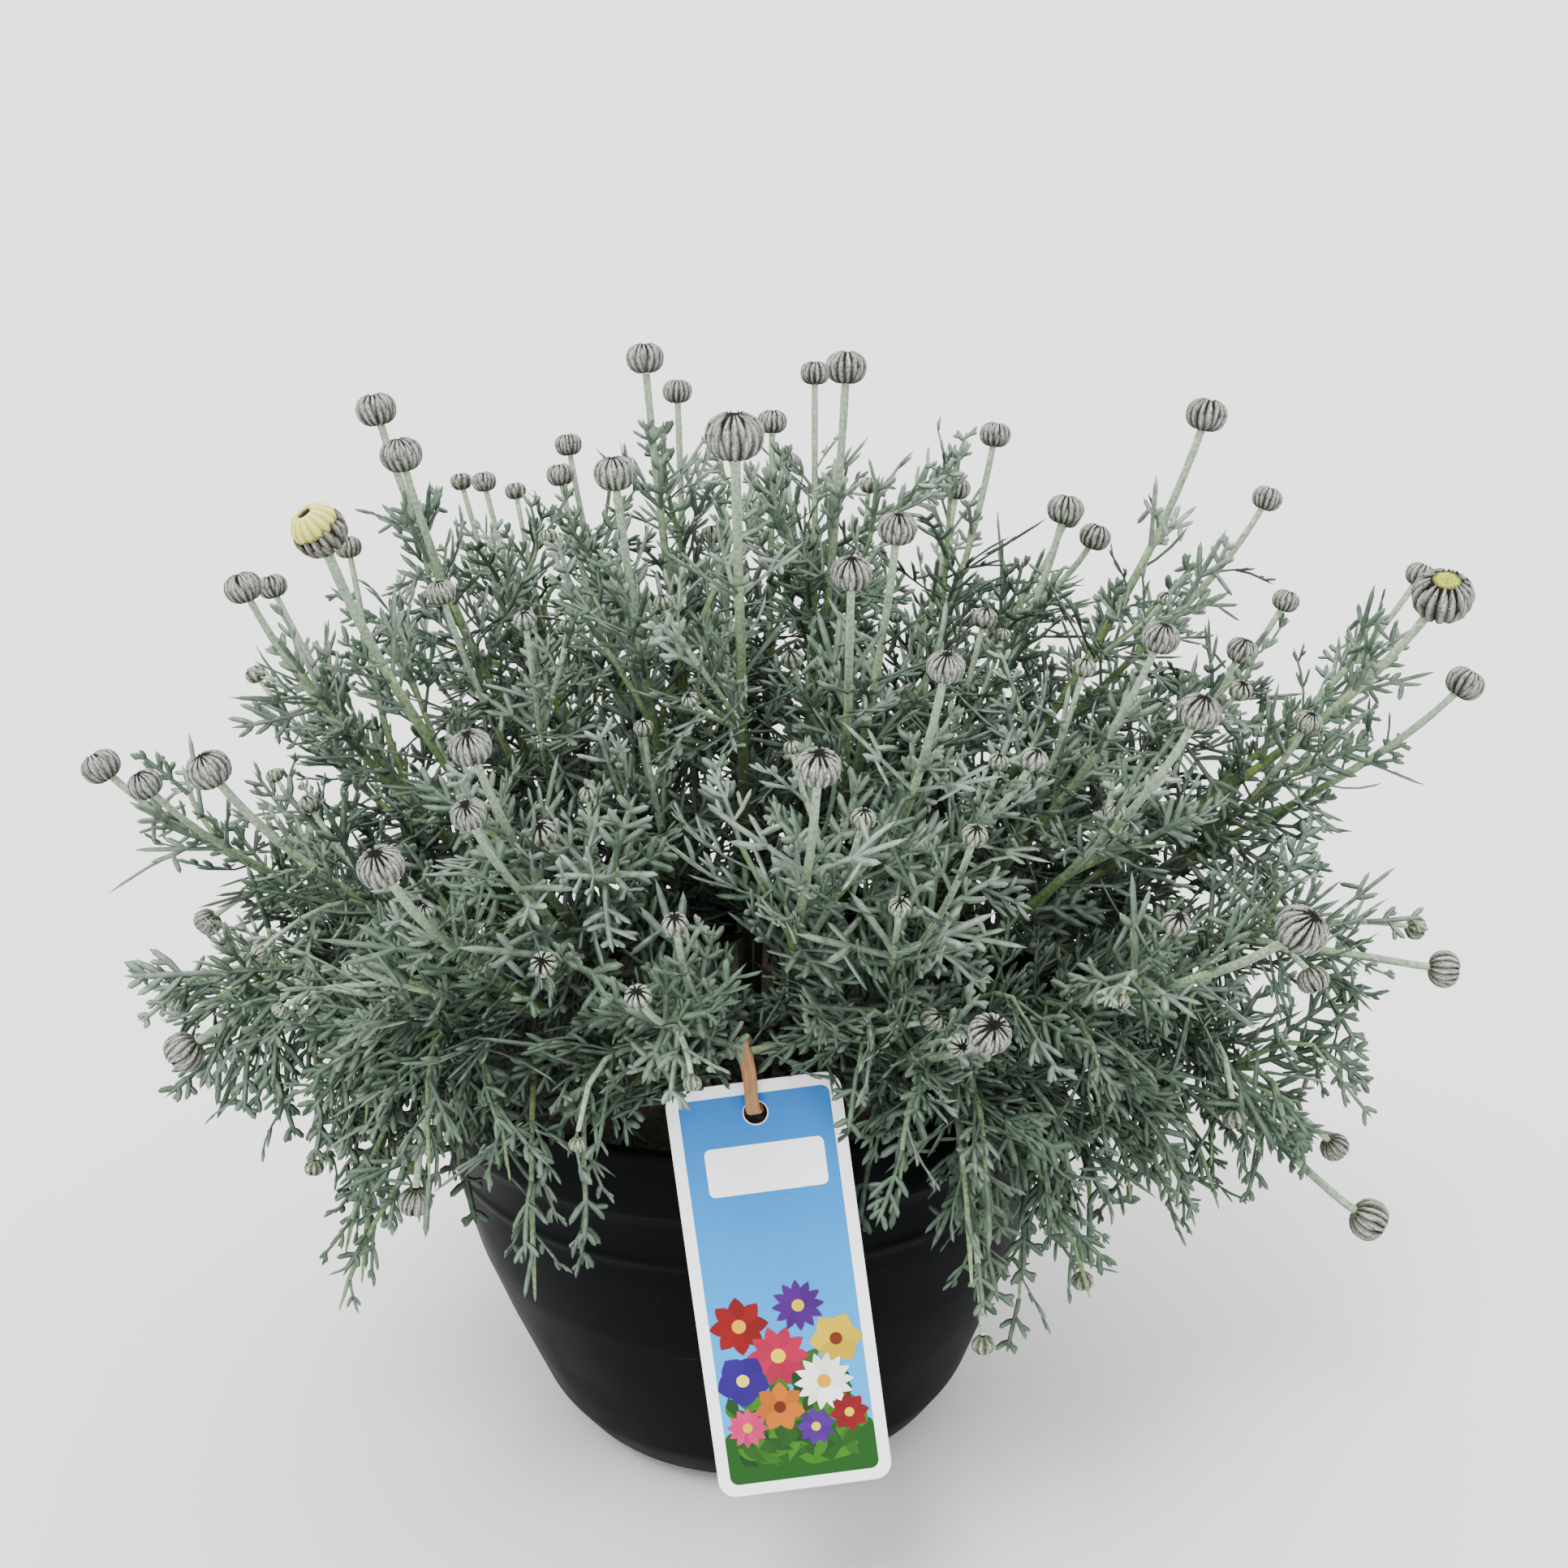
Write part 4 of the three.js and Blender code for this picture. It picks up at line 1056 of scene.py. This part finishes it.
def felt_material(name, low, high, scale, flecks, sheen):
    material, tree, shader = new_material(name)
    vector = coordinates(tree)
    colour = tinted(tree, low, high, noise(tree, vector, scale))
    hairs = noise(tree, vector, scale * 3.5, 2.0, 0.7)
    pale = ramp(tree, hairs, [(flecks, grey(0.0)), (min(0.98, flecks + 0.12), grey(0.4))])
    colour = blend(tree, pale, colour, FLECK)
    tree.links.new(colour, shader.inputs["Base Color"])
    vary_roughness(tree, shader, hairs, 0.62, 0.86)
    shader.inputs["Sheen Weight"].default_value = sheen
    shader.inputs["Sheen Roughness"].default_value = 0.45
    shader.inputs["Sheen Tint"].default_value = (0.86, 0.92, 0.88, 1)
    shader.inputs["Specular IOR Level"].default_value = 0.10
    bump(tree, shader, hairs, 0.5, 0.12)
    return material


# Sprays
leaf_material = felt_material("leaf_felt", 0.55, 1.35, 0.35, 0.70, 0.0)
stem_material = felt_material("stem_felt", 0.5, 1.45, 0.9, 0.62, 0.02)
bract_material = felt_material("bract_wool", 0.32, 1.5, 1.5, 0.80, 0.0)


def spray_tuft(number, stems):
    """A spray's own stems with their buds and leaves, then its side stems."""
    source = np.random.default_rng(SPRAY_SEED + number)
    tuft = Tuft()
    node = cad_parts[f"spray_{number:02d}"]
    raw = np.empty(len(node.data.vertices) * 3)
    node.data.vertices.foreach_get("co", raw)
    node_corners = raw.reshape(-1, 3) / MM
    for index, stem in enumerate(stems):
        add_stem(tuft, stem, source)
        for joint, along, halves in cad_pairs(stem, number, index, node_corners):
            for tips in halves:
                add_cad_leaf(tuft, joint, along, tips, source)
        if stem.bud > 0:
            bare = mix(12, 42, clamp01((stem.bud - 6) / 8)) / stem.length
            begin = 0.3 if stem.is_main else 0.12
            clothe(tuft, stem, number + index, begin, 1 - bare, BUD_STEM_LEAVES, source)
            add_bud(tuft, stem, number, source)
        else:
            clothe(tuft, stem, number + index, 0.25, 0.94, SKIRT_LEAVES, source)
    for index, stem in enumerate(extra[number]):
        add_stem(tuft, stem, source)
        if stem.bud > 0:
            clothe(tuft, stem, number * 3 + index, 0.2, 0.9, LATE_BUD_LEAVES, source)
            add_bud(tuft, stem, number, source)
        else:
            leaves = LOW_LEAVES if index >= low_from[number] else DOME_LEAVES
            clothe(tuft, stem, number * 3 + index, 0.25, 1.0, leaves, source)
    return tuft


foliage_materials = (leaf_material, stem_material, bract_material)
for number, stems in sprays.items():
    tuft = spray_tuft(number, stems)
    tuft.make(f"leafy_spray_{number:02d}", foliage_materials, "foliage", f"spray_{number:02d}")


# The folded rays of the opening bud
def ray_dome():
    stem = sprays[OPENING][0]
    radius = BUD_TRIM * stem.bud / 2
    centre = stem.curve.at(1.0)
    side, front, lean = bud_axes(stem, OPENING)
    levels = [(0.0, 0.60), (0.1, 0.93), (0.3, 0.98), (0.5, 0.94), (0.7, 0.82), (0.86, 0.62), (0.93, 0.44),
              (0.91, 0.33), (0.82, 0.29), (0.6, 0.26)]
    rays = 15
    across = 6
    columns = rays * across
    tuft = Tuft()
    corners = []
    tints = []
    for row, (height, width) in enumerate(levels):
        for c in range(columns):
            fold = abs((c % across) / across * 2 - 1)
            angle = 2 * math.pi * c / columns
            out = radius * width * (1 - 0.10 * fold**2)
            tip = 0.05 * radius * draw(c // across + 3) * (row >= 5)
            flat = math.cos(angle) * side + math.sin(angle) * front
            corners.append(centre + out * flat + (radius * height + tip) * lean)
            # Painted shade: each ray darkens towards the creases where it meets its neighbours.
            yellow = mix(RAY_YELLOW, np.array([0.26, 0.22, 0.03]), fold**2 * 0.85)
            # Painted shade: the innermost rows of the rays are near-black, and so is the hollow's floor
            # below.
            yellow = mix(yellow, PAINTED_HOLLOW_SHADE, 0.97 if row > 7 else 0.0)
            tints.append(yellow)
    tuft.add(corners, grid_faces(len(levels), columns, True), tints, 0)
    hollow_floor = centre + radius * 0.55 * lean
    tuft.add(corners[-columns:] + [hollow_floor], fan_faces(columns), PAINTED_HOLLOW_SHADE, 0)
    return tuft


ray_material, tree, shader = new_material("ray_petal")
vector = coordinates(tree)
streaks = noise(tree, vector, 1.6, 3.0)
tree.links.new(tinted(tree, 0.82, 1.12, streaks), shader.inputs["Base Color"])
vary_roughness(tree, shader, streaks, 0.5, 0.68)
shader.inputs["Sheen Weight"].default_value = 0.15
bump(tree, shader, streaks, 0.4, 0.1)
ray_dome().make("folded_rays", (ray_material,), "ray_florets", "opening_rays")


# Pot. The pot and the soil have a plain tint, because all their colour is in their materials.
PLAIN = (1, 1, 1)
POT_SIDES = 128


def smoothed(profile, closeness):
    """Rounds the corners of a profile of (radius, height) by cutting each twice."""
    points = np.array(profile, float)
    for _ in range(2):
        ahead = np.roll(points, -1, axis=0) - points
        length = np.linalg.norm(ahead, axis=1, keepdims=True)
        cut = np.minimum(closeness, length / 4) / np.maximum(length, 1e-9)
        first = points + ahead * cut
        second = points + ahead * (1 - cut)
        inner = np.stack([first, second], axis=1).reshape(-1, 2)
        points = np.concatenate([points[:1], inner[1:-2], points[-1:]])
        closeness *= 0.5
    return points


def lathe(profile, sides, offset=None):
    """A turned body about the pot's axis. An offset raises its corners by their radius and angle."""
    points = np.asarray(profile, float)
    angles = 2 * math.pi * np.arange(sides) / sides
    out = points[:, :1] * np.ones(sides)
    tall = points[:, 1:] * np.ones(sides)
    if offset is not None:
        tall = tall + offset(points[:, :1], angles[None])
    corners = np.stack([out * np.cos(angles), out * np.sin(angles), tall], axis=2)
    tuft = Tuft()
    tuft.add(corners.reshape(-1, 3), grid_faces(len(points), sides, True), PLAIN, 0)
    return tuft


lip = RIM_RADIUS - 2 * WALL
POT_ROUNDING = 1.6
pot_outline = [
    (0, 0.8), (40, 0.8), (44, 0), (55, 0), (62, 1.6), (69, 5), (78, 18), (90, 50), (98, 74), (103.5, 99.5),
    (104.4, 106.4), (105.3, 107.4), (105.9, 109.6), (105.4, 111.2), (107.6, 125), (111.0, 127.6),
    (111.5, 131), (111.7, 146.5), (112, 148), (111.6, 150), (109.5, 150), (lip, 149.6), (lip - 0.6, 147),
    (105.4, 126), (102.6, 107), (95.6, 74), (87.6, 50), (75.6, 18),
    (66.6, FLOOR_THICKNESS), (0, FLOOR_THICKNESS),
]
pot_tuft = lathe(smoothed(pot_outline, POT_ROUNDING), POT_SIDES)

pot_material, tree, shader = new_material("black_plastic")
vector = coordinates(tree)
cloud = noise(tree, vector, 0.035, 4.0)
dust = noise(tree, coordinates(tree, (1, 1, 0.25)), 0.9, 5.0, 0.7)
body = ramp(tree, cloud, [(0.3, (0.0006, 0.0011, 0.0016)), (0.7, (0.0014, 0.0020, 0.0027))])
body = blend(tree, ramp(tree, dust, [(0.62, grey(0.0)), (0.88, grey(0.5))]), body, (0.024, 0.026, 0.027))
streaks = noise(tree, coordinates(tree, (0.12, 0.12, 1.6)), 0.16, 6.0, 0.75)
body = blend(tree, ramp(tree, streaks, [(0.68, grey(0.0)), (0.74, grey(0.5))]), body, (0.026, 0.028, 0.029))
tree.links.new(body, shader.inputs["Base Color"])
grain = noise(tree, vector, 1.4, 3.0)
vary_roughness(tree, shader, cloud, 0.42, 0.56)
shader.inputs["Specular IOR Level"].default_value = 0.03
bump(tree, shader, grain, 0.25, 0.12)
pot_tuft.make("bowl_pot", (pot_material,), "pot_plastic", "pot")


# Soil
SOIL_SIDES = 120
SOIL_RINGS = 44
SOIL_DIP = 3.5


def crumbs(out, angle):
    x = out * np.cos(angle)
    y = out * np.sin(angle)
    waves = np.sin(x * 0.31 + 2 * np.sin(y * 0.17)) + np.sin(y * 0.43 + 1.7 * np.sin(x * 0.23 + 1))
    lumps = np.sin(x * 1.3 + 2.1 * np.sin(y * 0.9)) * np.sin(y * 1.1 + 1.6 * np.sin(x * 1.2 + 2))
    return (0.9 * waves + 1.3 * lumps) * clamp01(1.2 - out / 120) * (out > 0.1)


def soil_piece():
    """The peat's underside and wall, and over them its crumbly top, which dips towards the wall."""
    wall_inset = WALL + SEAT_GAP + 0.6
    bottom = FLOOR_THICKNESS + 0.4
    edge = float(pot_radius(107) - wall_inset)
    low = lathe([
        (0, bottom), (pot_radius(7) - wall_inset - 3, bottom),
        (pot_radius(18) - wall_inset, 18), (pot_radius(74) - wall_inset, 74),
        (edge, 107), (edge, SOIL_LEVEL - SOIL_DIP),
    ], SOIL_SIDES)
    radii = np.linspace(edge, 0, SOIL_RINGS)
    domed = np.stack([radii, SOIL_LEVEL - SOIL_DIP * (radii / edge) ** 2], axis=1)
    top = lathe(domed, SOIL_SIDES, lambda out, angle: crumbs(out, angle) * (out < edge - 0.5))
    low.add(top.points[0], top.faces[0], PLAIN, 0)
    return low


soil_material, tree, shader = new_material("peat")
vector = coordinates(tree)
crumb = noise(tree, vector, 0.45, 6.0, 0.7)
tree.links.new(
    ramp(tree, crumb, [
        (0.3, (0.008, 0.006, 0.004)), (0.52, (0.028, 0.019, 0.012)), (0.75, (0.075, 0.05, 0.03)),
    ]),
    shader.inputs["Base Color"],
)
shader.inputs["Roughness"].default_value = 0.95
bump(tree, shader, crumb, 0.9, 1.2)
soil_piece().make("soil_bed", (soil_material,), "peat", "soil")


# Label
TAG_BEVEL = 0.12
TAG_BEVEL_INSET = 0.15
CORNER_STEPS = 7
FIELD_MARGIN = 3.5
FIELD_CORNER = 2.5
FIELD_WIDTH = TAG_WIDTH - 2 * FIELD_MARGIN
FIELD_BOTTOM = -TAG_LENGTH + FIELD_MARGIN
PANEL_WIDTH = 34
PANEL_TOP = -18
PANEL_BOTTOM = -32
PANEL_CORNER = 1.8
BED_TOP = -101
LABEL_LEAVES = 150
LABEL_LEAF_LENGTH = 9
LABEL_LEAF_WIDTH = 3.4


def rounded_outline(width, top, bottom, corner):
    """Corners of a rounded rectangle in the label's plane, anticlockwise from the top right."""
    half = width / 2
    outline = []
    for x, y, start in (
        (half - corner, top - corner, 0), (-half + corner, top - corner, 90),
        (-half + corner, bottom + corner, 180), (half - corner, bottom + corner, 270),
    ):
        for k in range(CORNER_STEPS + 1):
            angle = math.radians(start + 90 * k / CORNER_STEPS)
            outline.append((x + corner * math.cos(angle), y + corner * math.sin(angle)))
    return np.array(outline)


def on_tag(flat, height):
    points = np.column_stack([flat, np.broadcast_to(height, len(flat))])
    return points @ tag_turn.T + np.array(TAG_TOP)


def hole_outline(outline, radius):
    """Points round the hole, one for each corner of the outline, at the same angle round the hole."""
    centre = np.array([0, -TAG_HOLE_DROP])
    return centre + unit(outline - centre) * radius


def dense(outline, longest=6.0):
    points = []
    for k, point in enumerate(outline):
        following = outline[(k + 1) % len(outline)]
        cuts = max(1, int(np.linalg.norm(following - point) / longest))
        points += [mix(point, following, i / cuts) for i in range(cuts)]
    return np.array(points)


tag_tuft = Tuft()
CARD_WHITE = (0.80, 0.81, 0.82)
edge = dense(rounded_outline(TAG_WIDTH, 0, -TAG_LENGTH, TAG_CORNER))
inset = edge + unit(np.array([0, -TAG_LENGTH / 2]) - edge) * TAG_BEVEL_INSET
hole = hole_outline(edge, TAG_HOLE_RADIUS)
half = TAG_THICKNESS / 2
levels = [
    (hole, -half), (inset, -half), (edge, -half + TAG_BEVEL),
    (edge, half - TAG_BEVEL), (inset, half), (hole, half), (hole, -half),
]
for (outer, z0), (inner, z1) in zip(levels, levels[1:]):
    corners = np.concatenate([on_tag(outer, z0), on_tag(inner, z1)])
    tag_tuft.add(corners, grid_faces(2, len(outer), True), CARD_WHITE, 0)


def print_layer(outline, height, colour):
    """A flat printed shape, filled by a fan from its middle."""
    flat = np.concatenate([outline, outline.mean(axis=0)[None]])
    tag_tuft.add(on_tag(flat, half + height), fan_faces(len(outline)), colour, 0)


# How far each layer of print stands above the card
FIELD_PRINT = 0.03
PANEL_PRINT = 0.05
LEAF_PRINT = 0.06
PETAL_PRINT = 0.17
EYE_PRINT = 0.23
SKY = np.array([0.002, 0.11, 0.38])
SKY_LOW = np.array([0.004, 0.31, 0.70])
PANEL_WHITE = (0.83, 0.84, 0.84)
BED_GREEN = (0.003, 0.050, 0.002)
LABEL_LEAF_DEEP = np.array([0.001, 0.024, 0.002])
LABEL_LEAF_PALE = np.array([0.025, 0.12, 0.002])
field = dense(rounded_outline(FIELD_WIDTH, -FIELD_MARGIN, FIELD_BOTTOM, FIELD_CORNER), 3.0)
field_hole = hole_outline(field, TAG_HOLE_RADIUS + 0.25)
both = np.concatenate([field, field_hole])
field_tints = mix(SKY, SKY_LOW, clamp01(-both[:, 1:] / TAG_LENGTH))
tag_tuft.add(on_tag(both, half + FIELD_PRINT), grid_faces(2, len(field), True), field_tints, 0)
panel = rounded_outline(PANEL_WIDTH, PANEL_TOP, PANEL_BOTTOM, PANEL_CORNER) + np.array([1, 0])
print_layer(panel, PANEL_PRINT, PANEL_WHITE)


def petal(centre, angle, length, width):
    """A petal's outline, which starts at the flower's centre."""
    t = np.linspace(0, 1, 9)
    wide = width * np.sin(math.pi * t**1.25) / 2
    ahead = np.array([math.cos(angle), math.sin(angle)])
    across = np.array([-ahead[1], ahead[0]])
    right = np.array(centre) + length * t[:, None] * ahead - wide[:, None] * across
    left = np.array(centre) + length * t[::-1, None] * ahead + wide[::-1, None] * across
    return np.concatenate([right, left[1:-1]])


# a generic bed of flowers: (x, y, size, petals, petal width, petal colour, centre colour)
FLOWERS = [
    (-13.0, -70, 8.6, 8, 0.56, (0.145, 0.000, 0.000), (0.50, 0.26, 0.0)),
    (4.5, -66, 7.6, 12, 0.36, (0.042, 0.001, 0.11), (0.52, 0.32, 0.0)),
    (14.0, -77, 7.8, 6, 0.78, (0.42, 0.29, 0.0), (0.10, 0.012, 0.0)),
    (-3.0, -80, 9.0, 10, 0.45, (0.26, 0.001, 0.030), (0.55, 0.40, 0.0)),
    (-14.0, -86, 7.8, 5, 0.95, (0.016, 0.001, 0.12), (0.60, 0.50, 0.04)),
    (9.0, -89, 8.6, 14, 0.34, (0.70, 0.70, 0.68), (0.50, 0.24, 0.0)),
    (-4.5, -95, 7.4, 7, 0.62, (0.34, 0.085, 0.0), (0.08, 0.008, 0.0)),
    (15.0, -99, 5.8, 8, 0.55, (0.14, 0.0, 0.004), (0.52, 0.38, 0.0)),
    (-14.5, -100, 6.0, 12, 0.40, (0.38, 0.015, 0.085), (0.45, 0.28, 0.0)),
    (5.0, -102, 5.6, 9, 0.50, (0.048, 0.002, 0.15), (0.52, 0.42, 0.01)),
]
print_layer(rounded_outline(FIELD_WIDTH, BED_TOP, FIELD_BOTTOM, FIELD_CORNER), PANEL_PRINT, BED_GREEN)
for k in range(LABEL_LEAVES):
    x = mix(-17, 17, draw(k + 0.3))
    y = mix(-84, -113, draw(k + 17.7) ** 0.6)
    angle = mix(0.2, 2.9, draw(k + 5.1))
    green = mix(LABEL_LEAF_DEEP, LABEL_LEAF_PALE, draw(k + 9.2))
    reach = LABEL_LEAF_LENGTH * (0.7 if abs(x) > 12 else 1)
    tip = np.array([x + reach * math.cos(angle), y + reach * math.sin(angle)])
    if abs(tip[0]) < FIELD_WIDTH / 2 - 1 and tip[1] > FIELD_BOTTOM + 1.5:
        print_layer(petal((x, y), angle, reach, LABEL_LEAF_WIDTH), LEAF_PRINT + 0.0006 * k, green)
eye_angles = np.linspace(0, 2 * math.pi, 12, endpoint=False)
eye_outline = np.column_stack([np.cos(eye_angles), np.sin(eye_angles)])
for k, (x, y, size, count, wide, colour, eye) in enumerate(FLOWERS):
    for p in range(count):
        angle = 2 * math.pi * (p + draw(k)) / count
        shade = np.array(colour) * mix(0.78, 1.08, draw(13 * k + p))
        outline = petal((x, y), angle, size, size * wide)
        print_layer(outline, PETAL_PRINT + 0.004 * k + 0.0002 * p, shade)
    print_layer(np.array([x, y]) + eye_outline * size * 0.24, EYE_PRINT, eye)

tag_material, tree, shader = new_material("printed_card")
vector = coordinates(tree)
mottle = noise(tree, vector, 0.5, 3.0)
tree.links.new(tinted(tree, 0.95, 1.03, mottle), shader.inputs["Base Color"])
vary_roughness(tree, shader, noise(tree, vector, 0.08), 0.32, 0.46)
shader.inputs["Coat Weight"].default_value = 0.03
shader.inputs["Specular IOR Level"].default_value = 0.2
bump(tree, shader, mottle, 0.1, 0.05)
tag_tuft.make("hanging_label", (tag_material,), "label_card", "tag", smooth=False)


# Tie: a flat strand with ridged fibres in a closed loop, through the label's hole and round the low stem
RAFFIA_DARK = np.array([0.12, 0.048, 0.014])
RAFFIA_PALE = np.array([0.36, 0.19, 0.07])
TIE_RIDGES = 9
TIE_TURN_STEPS = 15
TIE_STRAIGHT_STEPS = 12


def tie_path():
    """Points along the loop, the outward direction at each, and the direction across the strand."""
    holder = sprays[HOLDER_SPRAY][0]
    hole_at = np.array(tag_matrix @ Matrix.Translation((0, -TAG_HOLE_DROP, 0)))[:3, 3]
    top = holder.axis_point(TIE_AT)
    inner = holder.radius(TIE_AT) + TIE_SLACK
    up = unit(top - hole_at)
    bottom = hole_at + up * (inner + TIE_THICKNESS / 2)
    middle = (bottom + top) / 2
    half_length = np.linalg.norm(top - bottom) / 2
    along = unit(np.array([1.0, 0, 0]) - up[0] * up)
    front = np.cross(up, along)
    radius = inner + TIE_THICKNESS / 2
    path = []
    outward = []
    for start, sign in ((0, 1), (180, -1)):
        for angle in np.radians(np.linspace(start, start + 180, TIE_TURN_STEPS)):
            direction = math.cos(angle) * front + math.sin(angle) * up
            path.append(middle + sign * half_length * up + radius * direction)
            outward.append(direction)
        side = -1 if start == 0 else 1
        for share in np.linspace(0, 1, TIE_STRAIGHT_STEPS)[1:-1]:
            path.append(middle + side * radius * front + up * half_length * (sign * (1 - 2 * share)))
            outward.append(side * front)
    return np.array(path), np.array(outward), along


def tie_tuft():
    path, outward, along = tie_path()
    columns = TIE_RIDGES * 4
    around = 2 * columns
    rows = len(path)
    corners = np.empty((rows, around, 3))
    tints = np.empty((rows, around, 3))
    for row in range(rows):
        sway = 0.35 * math.sin(2 * math.pi * row / rows * 3 + 1)
        for c in range(around):
            top_side = c < columns
            share = (c if top_side else around - 1 - c) / (columns - 1)
            ridge = abs(math.sin(math.pi * TIE_RIDGES * share + 0.4 * math.sin(row * 0.35)))
            width = (share - 0.5) * TIE_WIDTH * (1 + 0.05 * math.sin(row * 0.5))
            thick = (TIE_THICKNESS / 2 - 0.16 + 0.16 * ridge) * (1 if top_side else -1)
            thick *= math.sqrt(max(0.1, 1 - (2 * share - 1) ** 6))
            corners[row, c] = path[row] + outward[row] * thick + along * (width + sway)
            fibre = draw(int(share * TIE_RIDGES) + 0.5)
            # Fibres differ in tone at random, and the grooves between the ridges are darker as painted
            # shade.
            tints[row, c] = mix(RAFFIA_DARK, RAFFIA_PALE, 0.65 * fibre + 0.35 * ridge)
    tuft = Tuft()
    faces = grid_faces(rows, around, True)
    last = grid_faces(2, around, True)
    wrap = np.where(last >= around, last - around, last + (rows - 1) * around)
    tuft.add(corners.reshape(-1, 3), np.concatenate([faces, wrap]), tints.reshape(-1, 3), 0)
    return tuft


tie_material, tree, shader = new_material("raffia_fibre")
fibres = noise(tree, coordinates(tree, (3.0, 0.25, 0.25)), 1.2, 5.0, 0.65)
tree.links.new(tinted(tree, 0.6, 1.3, fibres), shader.inputs["Base Color"])
vary_roughness(tree, shader, fibres, 0.6, 0.85)
bump(tree, shader, fibres, 0.6, 0.2)
tie_tuft().make("raffia_strand", (tie_material,), "raffia", "tag_tie")

# Floor, light and camera, with their places in metres. The floor is about as bright as the horizon, so
# that the line where they meet is faint.
FLOOR_REACH = 6
HORIZON = 2.4
ZENITH = 3.8
KEY_LIGHT = 3.4
KEY_WAY = (0.4, 0.6, -1.35)
KEY_SPREAD = 22
BACK_LIGHT = 0.8
BACK_WAY = (-0.4, -0.8, -1.1)
BACK_SPREAD = 50
FLOOR_ALBEDO = 0.56
floor_mesh = bpy.data.meshes.new("floor")
floor_corners = [(x * FLOOR_REACH, y * FLOOR_REACH, 0) for x, y in ((-1, -1), (1, -1), (1, 1), (-1, 1))]
floor_mesh.from_pydata(floor_corners, [], [(0, 1, 2, 3)])
floor = bpy.data.objects.new("floor", floor_mesh)
bpy.context.collection.objects.link(floor)
floor_material, tree, shader = new_material("studio_floor")
shader.inputs["Base Color"].default_value = (*grey(FLOOR_ALBEDO), 1)
shader.inputs["Roughness"].default_value = 1.0
shader.inputs["Specular IOR Level"].default_value = 0.0
floor_mesh.materials.append(floor_material)

world = bpy.data.worlds.new("studio")
world.use_nodes = True
sky = world.node_tree
direction = add_node(sky, "ShaderNodeTexCoord")
parts = add_node(sky, "ShaderNodeSeparateXYZ")
sky.links.new(direction.outputs["Generated"], parts.inputs["Vector"])
overhead = ramp(sky, parts.outputs["Z"], [(0.0, grey(HORIZON / ZENITH)), (1.0, grey(1.0))])
sky.links.new(overhead, sky.nodes["Background"].inputs["Color"])
sky.nodes["Background"].inputs["Strength"].default_value = ZENITH
bpy.context.scene.world = world


def soft_light(name, direction, strength, spread, colour):
    """A wide, even light that shines along a direction. Its spread is in degrees."""
    data = bpy.data.lights.new(name, "SUN")
    data.energy = strength
    data.angle = math.radians(spread)
    data.color = colour
    light = bpy.data.objects.new(name, data)
    back = -unit(np.array(direction, float))
    right = unit(np.cross(UP, back))
    light.matrix_world = Matrix(np.column_stack([right, np.cross(back, right), back]).tolist()).to_4x4()
    bpy.context.collection.objects.link(light)


soft_light("key", KEY_WAY, KEY_LIGHT, KEY_SPREAD, (1.0, 0.99, 0.97))
soft_light("back", BACK_WAY, BACK_LIGHT, BACK_SPREAD, (0.97, 0.98, 1.0))

SENSOR_WIDTH = 36
PHOTO_PIXELS = 1932
FOCAL_PIXELS = 2200
CAMERA_PLACE = (0.0156, -0.570, 0.4106)
CAMERA_PITCH = math.radians(17.84)
CAMERA_ROLL = math.radians(-1.61)
camera_data = bpy.data.cameras.new("camera")
camera_data.lens = SENSOR_WIDTH * FOCAL_PIXELS / PHOTO_PIXELS
camera_data.sensor_width = SENSOR_WIDTH
camera = bpy.data.objects.new("camera", camera_data)
ahead = np.array([0, math.cos(CAMERA_PITCH), -math.sin(CAMERA_PITCH)])
right = np.array([1.0, 0, 0])
over = np.cross(right, ahead)
rolled_right = right * math.cos(CAMERA_ROLL) + over * math.sin(CAMERA_ROLL)
rolled_over = -right * math.sin(CAMERA_ROLL) + over * math.cos(CAMERA_ROLL)
turn = Matrix(np.column_stack([rolled_right, rolled_over, -ahead]).tolist()).to_4x4()
camera.matrix_world = Matrix.Translation(CAMERA_PLACE) @ turn
bpy.context.collection.objects.link(camera)
bpy.context.scene.camera = camera
